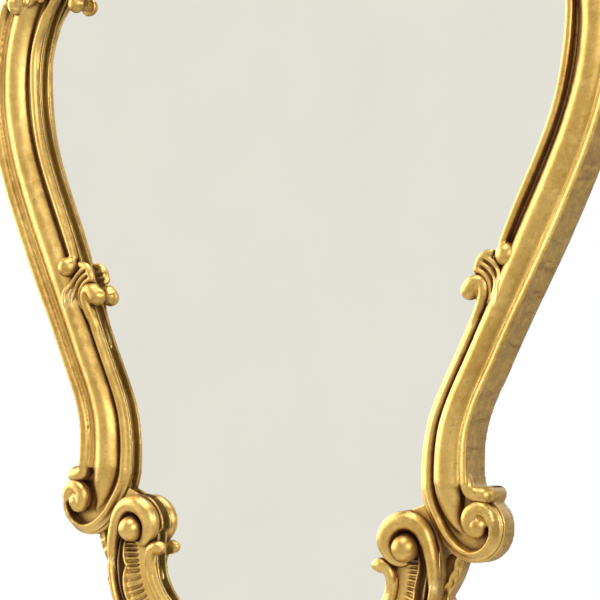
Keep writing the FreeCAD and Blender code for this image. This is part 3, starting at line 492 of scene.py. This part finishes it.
outside = ramp_of(flutes, past_rim, sum_of(flutes, "MULTIPLY", given["Edge"], 0.5),
                  sum_of(flutes, "MULTIPLY", given["Edge"], 1.5))
bank = ramp_of(flutes, near, given["Bank"], sum_of(flutes, "SUBTRACT", given["Bank"], given["Edge"]))
trench = sum_of(flutes, "MULTIPLY", outside, bank)
sunk = sum_of(flutes, "MULTIPLY", trench, given["Groove"])
shown = ramp_of(flutes, spot_parts["Y"], given["Front"], sum_of(flutes, "SUBTRACT", given["Front"], 0.001))
cut = sum_of(flutes, "SUBTRACT", sum_of(flutes, "ADD", gouged, sunk), raised)
cut = sum_of(flutes, "MULTIPLY", cut, shown)
inwards = joined(flutes, "ShaderNodeCombineXYZ", to=(("Y", cut),)).outputs[0]
moved = joined(flutes, "GeometryNodeSetPosition",
               to=(("Geometry", given["Geometry"]), ("Offset", inwards))).outputs["Geometry"]
# Mark of glaze and painted shade for the trench, read by the gilding.
groove_glaze_and_shade = sum_of(flutes, "MULTIPLY", trench, ramp_of(flutes, given["Groove"], 0.0, 0.004))
grooves_glazed_and_shaded = joined(flutes, "GeometryNodeStoreNamedAttribute", settings=point_value,
                 to=(("Geometry", moved), ("Name", "groove_glaze_and_shade"), ("Value", groove_glaze_and_shade))).outputs["Geometry"]
coated = joined(flutes, "GeometryNodeSetMaterial",
                to=(("Geometry", grooves_glazed_and_shaded), ("Material", given["Finish"]))).outputs["Geometry"]
flutes.links.new(coated, flutes.nodes.new("NodeGroupOutput").inputs["Geometry"])


def sight_line(name, points, side):
    """Line in the scene that the gouge follows, from front-view points of the right side in millimetres."""
    curve = bpy.data.curves.new(name, "CURVE")
    curve.dimensions = "3D"
    spline = curve.splines.new("POLY")
    spline.points.add(len(points) - 1)
    for point, (x, z) in zip(spline.points, points):
        point.co = (side * x / 1000, 0.0, z / 1000, 1.0)
    line = bpy.data.objects.new(name, curve)
    scene.collection.objects.link(line)
    return line


def gouge(piece, line, **sizes):
    """Cuts flutes across a carved piece, beside its sight line."""
    tool = piece.modifiers.new("flutes", "NODES")
    tool.node_group = flutes
    tool[sockets["Sight Line"]] = line
    tool[sockets["Finish"]] = gilding
    for label, value in sizes.items():
        tool[sockets[label.capitalize()]] = value
    plain(piece)
    piece.data.polygons.foreach_set("use_smooth", [True] * len(piece.data.polygons))


LOWER_SIGHT = [(112.4, 134), (112.4, 122), (112, 110), (109.6, 97.5), (101, 84), (82, 68.5), (56, 56.5),
               (30, 51)]
for hand, side in HANDS:
    lower_line = sight_line("lower_sight_" + hand, LOWER_SIGHT, side)
    gouge(carve("lower_rail_" + hand, 0.00063, 2), lower_line, spacing=0.0035, depth=0.0024, inner=0.0165,
          fade=0.003, lean=0.0, rim=0.0295, lobe=0.026, swing=0.0028, lip=0.0016, groove=0.0072, bank=0.0388,
          edge=0.0013, front=-0.0203)
    bpy.data.objects.remove(lower_line)


# Crest and apron blocks: boards between the rails that carry the shells, doweled to the rails.
# They are gilded in one go with the rails, so they take the same finish.
def dress(node, finish):
    """A finish on a CAD node that keeps its own shape."""
    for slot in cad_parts[node].material_slots:
        slot.material = finish


for node in ("crest_block", "apron_block"):
    dress(node, gilding)


# Sight beads: slim rounds of gesso and limewood, glued on the rails' seats.
# They end in balls, crooks and tongues.
# The lower bead runs on into the ring of the big volute, which winds in to a fat eye like a snail.
BEAD_BALL = [(216.4, 355.0, SEAT + 5.0, 9.0)]
UPPER_ROLL = [(224.6, 594.4, SEAT + 2.8, 2.6), (231, 596.4, SEAT + 3.2, 3), (238.9, 593.2, SEAT + 3.5, 3.5),
              (247.6, 583.1, SEAT + 3.5, 3.6), (256, 569.4, SEAT + 3.5, 3.6), (264.3, 533, SEAT + 3.5, 3.6),
              (254.5, 463.6, SEAT + 3.5, 3.6), (219.6, 382.6, SEAT + 3.5, 3.5), (211.2, 363, SEAT + 3.5, 3.3)]
UPPER_KNOB = [(217.5, 584.0, SEAT + 3.6, 5.9), (219.6, 590.4, SEAT + 3.2, 4.4)]
CROOK_ROLL = [(184.6, 330.0, SEAT + 3, 7.4), (188.6, 334.6, SEAT + 4, 6.4), (194, 335, SEAT + 4, 5.4),
              (196.6, 328.6, SEAT + 3.6, 5.2), (194.0, 319.0, SEAT + 2.6, 4.8), (189, 309, SEAT + 1.4, 4.2),
              (184, 298.5, SEAT - 0.2, 3.4), (178.5, 287, SEAT - 2, 2.6)]
SNAIL_ROLL = [(207.6, 160, SEAT + 6.5, 5), (205, 165.6, SEAT + 7, 5.6), (197.8, 168.6, SEAT + 7.4, 6.2),
              (191, 164.6, SEAT + 7.6, 6.4), (189.4, 158, SEAT + 7.4, 6.2), (192.4, 152.4, SEAT + 6.8, 5.6),
              (197.4, 151.6, SEAT + 6.4, 4.8), (199.6, 155.4, SEAT + 7, 4.2), (196.8, 158.4, SEAT + 9.6, 3.6)]
TONGUE_ROLL = [(106.4, 121.6, SEAT + 3.2, 4.6), (110.2, 122.2, SEAT + 3.6, 5.4),
               (115, 120.6, SEAT + 3.4, 5.2), (118.6, 114.4, SEAT + 2.6, 4.6), (118.4, 105, SEAT + 1.2, 4),
               (115.5, 95.5, SEAT - 1.2, 3)]
for hand, side in HANDS:
    carve("arch_bead_" + hand, 0.0008, 3)
    carve("upper_bead_" + hand, 0.0008, 9, [BEAD_BALL, UPPER_ROLL, UPPER_KNOB], side)
    carve(("lower_bead_" + hand, "volute_eye_" + hand), 0.0008, 6, [CROOK_ROLL, SNAIL_ROLL], side)
    carve("foot_bead_" + hand, 0.0008, 3, [TONGUE_ROLL], side)


# C-scrolls: a fat round roll on the head of each lower rail, with a ball eye in its dark hollow.
# They are carved in limewood, glued on and gilded, and small ones of the same kind flank the crest.
C_ROLL = [(132, 125, SEAT + 2, 2.6), (127, 124.8, SEAT + 2.8, 3.6), (121.6, 127.8, SEAT + 4, 5.2),
          (117.4, 134.2, SEAT + 5, 6.6), (116, 142, SEAT + 5.6, 7.6), (120.4, 150.4, SEAT + 6.2, 7.9),
          (130, 156, SEAT + 6.6, 7.8), (140.6, 155.4, SEAT + 6.4, 7.2), (149.2, 148.4, SEAT + 5.8, 6.4),
          (154.3, 137, SEAT + 5.2, 5.8), (157, 125, SEAT + 4.8, 5.2), (157.8, 113, SEAT + 4.2, 4.6),
          (157.0, 103, SEAT + 3, 3.8), (154, 93, SEAT + 1, 3), (149.5, 84, SEAT - 1.5, 2.4)]
C_BALL = [(134.6, 136, SEAT + 8.6, 10.6)]
for hand, side in HANDS:
    carve("c_scroll_" + hand, 0.0008, 6, [C_ROLL], side, keep=False)
    carve("c_scroll_eye_" + hand, 0.0008, 6, [C_BALL], side)
    carve("crest_scroll_" + hand, 0.0008, 3)


# Clasp shells: ribbed fans that spring from the crooks and die out on the torus, and husks at the crest.
# Each rib is a tapered roll bent round the crook, with a thin web of gesso between it and the next.
# A vein is cut between the ribs, and glaze and painted shade darken it.
CROOK = (186.5, 329.0)
CLASP_RIBS = [(16.2, 2.8, -34, 78), (21.6, 2.8, -30, 76), (27.0, 2.8, -26, 72)]
WEB_RINGS = [(13.4, 1.8, -20, 78), (18.9, 1.9, -26, 77), (24.3, 1.9, -24, 74)]
FAN_LIP = [(190.2, 343.2, 17.6, 2.8), (191.2, 347.6, 18.4, 3.4), (193.4, 352.0, 18.6, 3.6),
           (197.4, 355.6, 18.6, 3.4), (202.6, 357.0, 18.4, 3.0)]
RIB_STEPS = 8
RAIL_POINT = (215.2, 385.0)
RAIL_OUTWARD = (0.917, -0.399)
TORUS_FOOT = 10.0
TORUS_HALF = 13.0
TORUS_RISE = 13.0
VEINS = (18.9, 24.3)
VEIN_HALF = 1.1
VEIN_DEPTH = 0.0013
VEIN_FIRST, VEIN_RISE = -12, 20
VEIN_LAST, VEIN_FALL = 74, 8


def torus_height(x, z):
    """Height in millimetres of the side rail's front beside the crook, by its distance to the sight line."""
    away = (np.array((x, z)) - np.array(RAIL_POINT)) @ np.array(RAIL_OUTWARD)
    climbed = min(1.0, max(0.0, (away - TORUS_FOOT) / TORUS_HALF))
    return SEAT + TORUS_RISE * math.sin(math.pi / 2 * climbed)


def fan(rings, lift):
    """Rolls bent round the crook, from radius, thickness and the angles of both ends."""
    made = []
    for radius, thick, low, high in rings:
        path = []
        for i in range(RIB_STEPS + 1):
            share = i / RIB_STEPS
            angle = math.radians(low + (high - low) * share)
            x, z = CROOK[0] + radius * math.cos(angle), CROOK[1] + radius * math.sin(angle)
            taper = min(1.0, 0.45 + 1.6 * share) if share < 0.35 else 1.0
            height = max(SEAT + lift, torus_height(x, z) - 1.2 + 0.4 * lift * share)
            path.append((x, z, height, thick * taper))
        made.append(path)
    return made


def part_ribs(mesh, side):
    """Cuts a narrow vein between the ribs of a clasp shell and marks it for glaze and painted shade."""
    spots = np.empty(len(mesh.vertices) * 3, np.float32)
    mesh.vertices.foreach_get("co", spots)
    spots = spots.reshape(-1, 3)
    right, up = side * spots[:, 0] * 1000 - CROOK[0], spots[:, 2] * 1000 - CROOK[1]
    away, turn = np.hypot(right, up), np.degrees(np.arctan2(up, right))
    vein = np.zeros(len(spots), np.float32)
    for radius in VEINS:
        vein = np.maximum(vein, np.clip(1.5 - np.abs(away - radius) / VEIN_HALF, 0, 1))
    vein *= np.clip((turn - VEIN_FIRST) / VEIN_RISE, 0, 1) * np.clip((VEIN_LAST - turn) / VEIN_FALL, 0, 1)
    spots[:, 1] += vein * VEIN_DEPTH
    mesh.vertices.foreach_set("co", spots.ravel())
    # The vein is kept as the mark of glaze and painted shade.
    mesh.attributes.new("groove_glaze_and_shade", "FLOAT", "POINT").data.foreach_set("value", vein.astype(np.float32))
    mesh.update()


clasp_rolls = fan(CLASP_RIBS, 3.8) + fan(WEB_RINGS, 0.6) + [FAN_LIP]
for hand, side in HANDS:
    part_ribs(carve("clasp_shell_" + hand, 0.0007, 3, clasp_rolls, side, keep=False).data, side)
    carve("shoulder_clasp_" + hand, 0.0008, 3)
    carve("crest_husk_" + hand, 0.0008, 3)


# Leaves at the shoulders, the crest and the foot: applied carving, glued to blocks and rails.
# Gouge cuts part their lobes, and the foot leaves have a hollow between the rail and their rim, darkened with
# glaze and painted shade.
ARCH_SIGHT = [(40, 729), (110, 716), (162, 690), (198, 657), (222, 622), (240, 592), (251.5, 570),
              (259.5, 533)]
SHOULDER_LOBES = [
    [(262, 612, SEAT + 11, 7), (271, 600, SEAT + 14.4, 7.4), (276.4, 590, SEAT + 15.8, 7.2),
     (278, 583.6, SEAT + 15.4, 6)],
    [(252, 610, SEAT + 9, 6.4), (259, 600, SEAT + 12.8, 6.4), (262.6, 589.6, SEAT + 14, 6)],
    [(246, 606, SEAT + 5.4, 5), (251, 598.6, SEAT + 9, 5), (253, 591.4, SEAT + 9.4, 4.4)],
    [(276, 612, SEAT + 10, 6), (285.6, 600, SEAT + 12.6, 6), (290.4, 590, SEAT + 12.8, 5.2)]]
LEAF_EDGE = [(180, 131), (174, 115), (165.5, 101), (168.5, 90), (160.5, 82.5), (159.5, 70), (150.5, 63.5),
             (146.5, 51.5), (138.5, 48.5), (131, 39), (119, 33)]
LEAF_ROOT = [(161, 116, 6.6, 6.2), (165, 125, 6.8, 6.4), (171, 131, 6.8, 6.4), (178, 135.6, 6.6, 6)]
for hand, side in HANDS:
    leaf_line = sight_line("leaf_edge_" + hand, LEAF_EDGE, side)
    gouge(carve("foot_leaf_" + hand, 0.0008, 3, [LEAF_ROOT], side), leaf_line, spacing=0.0095, depth=0.0016,
          inner=0.0, fade=0.001, lean=0.25, rim=0.0042, lobe=0.0118, swing=0.0015, lip=0.0006, groove=0.0045,
          bank=0.06, edge=0.0016, front=-0.010)
    bpy.data.objects.remove(leaf_line)
    arch_line = sight_line("arch_sight_" + hand, ARCH_SIGHT, side)
    gouge(carve("crest_leaf_" + hand, 0.0009, 3), arch_line, spacing=0.0125, depth=0.0036, inner=0.047,
          fade=0.014, lean=-0.3, rim=0.2, lobe=0.03, swing=0.0, lip=0.0, groove=0.0, bank=0.058, edge=0.004,
          front=-0.010)
    gouge(carve("shoulder_leaf_" + hand, 0.0008, 2, SHOULDER_LOBES, side), arch_line, spacing=0.0105,
          depth=0.0022, inner=0.012, fade=0.006, lean=0.5, rim=0.05, lobe=0.03, swing=0.0, lip=0.0,
          groove=0.0, bank=0.058, edge=0.006, front=-0.0203)
    bpy.data.objects.remove(arch_line)


# Shells and boss: the scallop of the crest, its boss and the small hanging shell.
# They are carved in limewood, glued on the blocks and gilded with them.
for node in ("crest_shell", "crest_boss", "pendant_shell"):
    carve(node, 0.001, 3)


# Mirror glass: a 4 mm sheet, silvered on its back and held behind the sight lip.
# What the eye meets is the silver at the back of the sheet, so the lip and its reflection stand apart.
SILVER_T = 0.0002
silvering = bpy.data.materials.new("silvering")
nodes, links = nodes_of(silvering)
here = nodes.new("ShaderNodeTexCoord").outputs["Object"]
silver = nodes.new("ShaderNodeBsdfPrincipled")
veil = span(nodes, links, noise(nodes, links, here, 9.0, 4.0), 0.3, 0.75)
silver_tone = blend(nodes, links, veil, (0.955, 0.95, 0.945, 1), (0.975, 0.97, 0.96, 1))
links.new(silver_tone, silver.inputs["Base Color"])
silver.inputs["Metallic"].default_value = 1.0
haze = span(nodes, links, noise(nodes, links, here, 60.0, 3.0), 0.55, 0.8, 0.0, 0.02)
links.new(haze, silver.inputs["Roughness"])
out = nodes.new("ShaderNodeOutputMaterial")
links.new(silver.outputs[0], out.inputs["Surface"])
sheet = bpy.data.objects.new("mirror_sheet", fresh("mirror_glass"))
scene.collection.objects.link(sheet)
silver_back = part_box("mirror_glass")[1].y
for corner in sheet.data.vertices:
    if corner.co.y < silver_back - 0.001:
        corner.co.y = silver_back - SILVER_T
sheet.data.materials.clear()
sheet.data.materials.append(silvering)
sheet.data.polygons.foreach_set("use_smooth", [False] * len(sheet.data.polygons))
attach(sheet, "frame")
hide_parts("mirror_glass")


# Felt sheet: grey wool felt, cut to the glass and laid between it and the board.
# It keeps the silvering off the board and takes up the play in the rebate.
def felt_finish(name, dark, pale):
    """Wool felt of two tones, with a soft nap."""
    made = bpy.data.materials.new(name)
    nodes, links = nodes_of(made)
    here = nodes.new("ShaderNodeTexCoord").outputs["Object"]
    fibre = noise(nodes, links, here, 1400.0, 6.0, 0.75)
    lumps = noise(nodes, links, here, 240.0, 3.0)
    wool = nodes.new("ShaderNodeBsdfPrincipled")
    mixed = math_of(nodes, links, "ADD", math_of(nodes, links, "MULTIPLY", fibre, 0.7),
                    math_of(nodes, links, "MULTIPLY", lumps, 0.3))
    wool_tone = blend(nodes, links, span(nodes, links, mixed, 0.36, 0.66), dark, pale)
    links.new(wool_tone, wool.inputs["Base Color"])
    links.new(span(nodes, links, fibre, 0.3, 0.7, 0.86, 0.97), wool.inputs["Roughness"])
    wool.inputs["Sheen Weight"].default_value = 0.35
    wool.inputs["Sheen Roughness"].default_value = 0.6
    nap = nodes.new("ShaderNodeBump")
    nap.inputs["Strength"].default_value = 0.5
    nap.inputs["Distance"].default_value = 0.0006
    links.new(mixed, nap.inputs["Height"])
    links.new(nap.outputs[0], wool.inputs["Normal"])
    links.new(wool.outputs[0], nodes.new("ShaderNodeOutputMaterial").inputs["Surface"])
    return made


grey_felt = felt_finish("grey_felt", (0.13, 0.13, 0.13, 1), (0.30, 0.30, 0.29, 1))
liner = bpy.data.objects.new("felt_liner", fresh("felt_sheet"))
scene.collection.objects.link(liner)
liner.data.materials.clear()
liner.data.materials.append(grey_felt)
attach(liner, "frame")
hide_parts("felt_sheet")


# Backing board: brown pressed fibreboard in the rebate, flush with the backs of the timbers.
# Its back is the rough screen side, with the faint grid of the press screen and paler rubbed patches.
BOARD_DARK = (0.135, 0.072, 0.035, 1)
BOARD_PALE = (0.27, 0.165, 0.085, 1)
BOARD_RUBBED = (0.30, 0.20, 0.115, 1)
SCREEN_PITCH = 0.0022
pressed_board = bpy.data.materials.new("pressed_board")
nodes, links = nodes_of(pressed_board)
here = nodes.new("ShaderNodeTexCoord").outputs["Object"]
fibres = nodes.new("ShaderNodeMapping")
fibres.inputs["Scale"].default_value = (1.0, 1.0, 0.55)
links.new(here, fibres.inputs["Vector"])
fibre = noise(nodes, links, fibres.outputs[0], 520.0, 6.0, 0.7)
stains = noise(nodes, links, here, 7.0, 4.0)
board_tone = blend(nodes, links, span(nodes, links, fibre, 0.35, 0.68), BOARD_DARK, BOARD_PALE)
board_tone = blend(nodes, links, span(nodes, links, stains, 0.42, 0.72, 0.0, 0.45), board_tone, BOARD_RUBBED)
split = nodes.new("ShaderNodeSeparateXYZ")
links.new(here, split.inputs[0])
screen = []
for axis in ("X", "Z"):
    wires = math_of(nodes, links, "MULTIPLY", split.outputs[axis], 2 * math.pi / SCREEN_PITCH)
    screen.append(math_of(nodes, links, "SINE", wires, 0.0))
press = math_of(nodes, links, "MULTIPLY", screen[0], screen[1])
board = nodes.new("ShaderNodeBsdfPrincipled")
links.new(board_tone, board.inputs["Base Color"])
links.new(span(nodes, links, fibre, 0.3, 0.7, 0.62, 0.85), board.inputs["Roughness"])
rough_side = nodes.new("ShaderNodeBump")
rough_side.inputs["Strength"].default_value = 0.4
rough_side.inputs["Distance"].default_value = 0.0004
board_height = math_of(nodes, links, "ADD", fibre, math_of(nodes, links, "MULTIPLY", press, 0.25))
links.new(board_height, rough_side.inputs["Height"])
links.new(rough_side.outputs[0], board.inputs["Normal"])
links.new(board.outputs[0], nodes.new("ShaderNodeOutputMaterial").inputs["Surface"])
dress("backing_board", pressed_board)


# Dowels: beech pins, cut from rod and glued across the timber joints.
# They are hidden once the frame is together.
beech = bpy.data.materials.new("beech")
nodes, links = nodes_of(beech)
here = nodes.new("ShaderNodeTexCoord").outputs["Object"]
pores = noise(nodes, links, here, 900.0, 4.0, 0.7)
pin = nodes.new("ShaderNodeBsdfPrincipled")
pin_tone = blend(nodes, links, span(nodes, links, pores, 0.35, 0.65), (0.44, 0.27, 0.15, 1),
                 (0.60, 0.41, 0.25, 1))
links.new(pin_tone, pin.inputs["Base Color"])
links.new(span(nodes, links, pores, 0.3, 0.7, 0.5, 0.7), pin.inputs["Roughness"])
links.new(pin.outputs[0], nodes.new("ShaderNodeOutputMaterial").inputs["Surface"])
dress("joint_dowels", beech)


# Turn buttons: stamped brass plates that swing on their screws and hold the board in the rebate.
# Old brass: browned all over, brighter on the edges and where fingers turn them, with fine draw lines.
def metal_finish(name, dark, mid, bright, rough, brush):
    """Aged metal of three tones, bright on its edges, with draw lines along one axis."""
    made = bpy.data.materials.new(name)
    nodes, links = nodes_of(made)
    here = nodes.new("ShaderNodeTexCoord").outputs["Object"]
    patina = noise(nodes, links, here, 130.0, 5.0, 0.6)
    spots = span(nodes, links, noise(nodes, links, here, 520.0, 3.0), 0.62, 0.74)
    drawn = nodes.new("ShaderNodeMapping")
    drawn.inputs["Scale"].default_value = brush
    links.new(here, drawn.inputs["Vector"])
    lines = noise(nodes, links, drawn.outputs[0], 900.0, 4.0, 0.7)
    rim = nodes.new("ShaderNodeAmbientOcclusion")
    rim.samples = 8
    rim.inside = True
    rim.inputs["Distance"].default_value = 0.0008
    tone = blend(nodes, links, span(nodes, links, patina, 0.34, 0.66), dark, mid)
    tone = blend(nodes, links, math_of(nodes, links, "MULTIPLY", spots, 0.5), tone, dark)
    worn_edges_and_hollow_shade = span(nodes, links, rim.outputs["AO"], 0.75, 0.4)
    tone = blend(nodes, links, worn_edges_and_hollow_shade, tone, bright)
    metal = nodes.new("ShaderNodeBsdfPrincipled")
    links.new(tone, metal.inputs["Base Color"])
    metal.inputs["Metallic"].default_value = 1.0
    links.new(math_of(nodes, links, "ADD", span(nodes, links, patina, 0.3, 0.7, rough, rough + 0.16),
                      math_of(nodes, links, "MULTIPLY", spots, 0.15)), metal.inputs["Roughness"])
    rounding = nodes.new("ShaderNodeBevel")
    rounding.samples = 6
    rounding.inputs["Radius"].default_value = 0.00035
    scratch = nodes.new("ShaderNodeBump")
    scratch.inputs["Strength"].default_value = 0.22
    scratch.inputs["Distance"].default_value = 0.0002
    links.new(lines, scratch.inputs["Height"])
    links.new(rounding.outputs[0], scratch.inputs["Normal"])
    links.new(scratch.outputs[0], metal.inputs["Normal"])
    links.new(metal.outputs[0], nodes.new("ShaderNodeOutputMaterial").inputs["Surface"])
    return made


old_brass = metal_finish("old_brass", (0.22, 0.13, 0.045, 1), (0.46, 0.30, 0.10, 1), (0.80, 0.60, 0.28, 1),
                         0.30, (0.08, 1, 1))
for hand in ("left", "right"):
    for place in ("arch", "upper", "waist", "foot"):
        dress("turn_button_" + place + "_" + hand, old_brass)


# Hanging straps and rings: folded steel straps with a rolled eye, and a wire ring in each eye.
# Both are zinc plated, dulled to grey, with bright scuffs where the ring runs in its eye.
zinc_steel = metal_finish("zinc_steel", (0.27, 0.27, 0.28, 1), (0.46, 0.46, 0.47, 1), (0.74, 0.74, 0.75, 1),
                          0.28, (1, 1, 0.08))
for hand in ("left", "right"):
    dress("hanger_strap_" + hand, zinc_steel)
    dress("hanger_ring_" + hand, zinc_steel)


# Screws: slotted steel screws, two in each strap and one through each turn button.
# The slots stand as the screwdriver left them, each at its own angle.
HEAD_R = 0.0034
HEAD_T = 0.0013
SLOT_W = 0.0009
SLOT_DEPTH = 0.0008
SHANK_R = 0.00172
SHANK_L = 0.011


def screw_body():
    """One screw along +Y, its head's underside at the origin: a lathe-turned form, slotted afterwards by a
    boolean cut.
    """
    turned = bmesh.new()
    outline = [(0.0, HEAD_T), (0.55 * HEAD_R, 0.97 * HEAD_T), (0.82 * HEAD_R, 0.82 * HEAD_T),
               (0.97 * HEAD_R, 0.5 * HEAD_T), (HEAD_R, 0.18 * HEAD_T), (HEAD_R, 0.0), (SHANK_R, 0.0),
               (SHANK_R, -0.8 * SHANK_L), (0.0, -SHANK_L)]
    line = [turned.verts.new((r, y, 0)) for r, y in outline]
    edges = [turned.edges.new(pair) for pair in zip(line, line[1:])]
    bmesh.ops.spin(turned, geom=line + edges, cent=(0, 0, 0), axis=(0, 1, 0), angle=2 * math.pi, steps=28)
    bmesh.ops.remove_doubles(turned, verts=turned.verts, dist=1e-6)
    bmesh.ops.recalc_face_normals(turned, faces=turned.faces)
    mesh = bpy.data.meshes.new("screw_body")
    turned.to_mesh(mesh)
    turned.free()
    return mesh


screw = bpy.data.objects.new("screw_blank", screw_body())
scene.collection.objects.link(screw)
cutter_mesh = bpy.data.meshes.new("slot_cutter")
block = bmesh.new()
bmesh.ops.create_cube(block, size=1.0)
bmesh.ops.scale(block, vec=(3 * HEAD_R, 2 * SLOT_DEPTH, SLOT_W), verts=block.verts)
bmesh.ops.translate(block, vec=(0, HEAD_T, 0), verts=block.verts)
block.to_mesh(cutter_mesh)
block.free()
cutter = bpy.data.objects.new("slot_cutter", cutter_mesh)
scene.collection.objects.link(cutter)
slotting = screw.modifiers.new("slot", "BOOLEAN")
slotting.operation = "DIFFERENCE"
slotting.object = cutter
plain(screw)
bpy.data.objects.remove(cutter)

set_screws = bpy.data.node_groups.new("set_screws", "GeometryNodeTree")
screw_in = {}
for label, kind in (("Geometry", "NodeSocketGeometry"), ("Screw", "NodeSocketObject"),
                    ("Turn Seed", "NodeSocketInt"), ("Finish", "NodeSocketMaterial")):
    screw_in[label] = set_screws.interface.new_socket(label, in_out="INPUT", socket_type=kind).identifier
set_screws.interface.new_socket("Geometry", in_out="OUTPUT", socket_type="NodeSocketGeometry")
given = set_screws.nodes.new("NodeGroupInput").outputs
blank = joined(set_screws, "GeometryNodeObjectInfo", to=(("Object", given["Screw"]),)).outputs["Geometry"]
turn = joined(set_screws, "FunctionNodeRandomValue", settings={"data_type": "FLOAT"},
              to=((2, 0.0), (3, math.pi), ("Seed", given["Turn Seed"])))
driven = joined(set_screws, "ShaderNodeCombineXYZ", to=(("Y", turn.outputs[1]),)).outputs[0]
placed = joined(set_screws, "GeometryNodeInstanceOnPoints",
                to=(("Points", given["Geometry"]), ("Instance", blank),
                    ("Rotation", driven))).outputs["Instances"]
real = joined(set_screws, "GeometryNodeRealizeInstances", to=(("Geometry", placed),)).outputs["Geometry"]
plated = joined(set_screws, "GeometryNodeSetMaterial",
                to=(("Geometry", real), ("Material", given["Finish"]))).outputs["Geometry"]
set_screws.links.new(plated, set_screws.nodes.new("NodeGroupOutput").inputs["Geometry"])


def screw_heads(node):
    """Places of the screws of a node: the middle of each head's underside."""
    shell = bmesh.new()
    shell.from_mesh(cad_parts[node].data)
    bmesh.ops.remove_doubles(shell, verts=shell.verts, dist=2e-6)
    left_over = set(shell.verts)
    places = []
    while left_over:
        group, edge_of = set(), [left_over.pop()]
        while edge_of:
            vert = edge_of.pop()
            group.add(vert)
            for edge in vert.link_edges:
                other = edge.other_vert(vert)
                if other in left_over:
                    left_over.discard(other)
                    edge_of.append(other)
        spots = np.array([vert.co for vert in group])
        middle = (spots.min(0) + spots.max(0)) / 2
        places.append((middle[0], spots[:, 1].max() - HEAD_T, middle[2]))
    shell.free()
    return sorted(places)


for node, seed in (("turn_button_screws", 3), ("hanger_screws", 8)):
    dots = bpy.data.meshes.new(node + "_places")
    dots.from_pydata(screw_heads(node), [], [])
    row = bpy.data.objects.new(node + "_slotted", dots)
    scene.collection.objects.link(row)
    driver = row.modifiers.new("set_screws", "NODES")
    driver.node_group = set_screws
    driver[screw_in["Screw"]] = screw
    driver[screw_in["Turn Seed"]] = seed
    driver[screw_in["Finish"]] = zinc_steel
    plain(row)
    row.data.set_sharp_from_angle(angle=math.radians(35))
    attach(row, "frame")
    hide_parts(node)
bpy.data.objects.remove(screw)


# Wall bumper: a punched disc of dark wool felt, glued behind the apron to keep the foot off the wall.
# The punch leaves a slightly rounded, furry rim, and the face is pressed a little hollow by the wall.
BUMPER_R = 0.011
RIM_R = 0.0012
FOOT_RIM_R = 0.5 * RIM_R
dark_felt = felt_finish("dark_felt", (0.035, 0.033, 0.032, 1), (0.11, 0.105, 0.10, 1))
pad_low, pad_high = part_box("wall_bumper")
pad_mid = (pad_low + pad_high) / 2
disc = bmesh.new()
rows = []
for share in (0.0, 0.35, 0.7, 0.85):
    rows.append((share * BUMPER_R, pad_high.y - 0.0002 * (1 - share)))
for step in range(5):
    bend = step * math.pi / 8
    rows.append((BUMPER_R - RIM_R + RIM_R * math.sin(bend), pad_high.y - RIM_R + RIM_R * math.cos(bend)))
for step in range(5):
    bend = step * math.pi / 8
    rows.append((BUMPER_R - FOOT_RIM_R + FOOT_RIM_R * math.cos(bend),
                 pad_low.y + FOOT_RIM_R - FOOT_RIM_R * math.sin(bend)))
rows.append((0.5 * BUMPER_R, pad_low.y))
rows.append((0.0, pad_low.y))
line = [disc.verts.new((r, y, 0)) for r, y in rows]
edges = [disc.edges.new(pair) for pair in zip(line, line[1:])]
bmesh.ops.spin(disc, geom=line + edges, cent=(0, 0, 0), axis=(0, 1, 0), angle=2 * math.pi, steps=64)
bmesh.ops.remove_doubles(disc, verts=disc.verts, dist=1e-6)
bmesh.ops.recalc_face_normals(disc, faces=disc.faces)
bmesh.ops.translate(disc, vec=(pad_mid.x, 0, pad_mid.z), verts=disc.verts)
pad_mesh = bpy.data.meshes.new("wall_pad")
disc.to_mesh(pad_mesh)
disc.free()
pad = bpy.data.objects.new("wall_pad", pad_mesh)
scene.collection.objects.link(pad)
pad_mesh.materials.append(dark_felt)
pad_mesh.polygons.foreach_set("use_smooth", [True] * len(pad_mesh.polygons))
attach(pad, "frame")
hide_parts("wall_bumper")
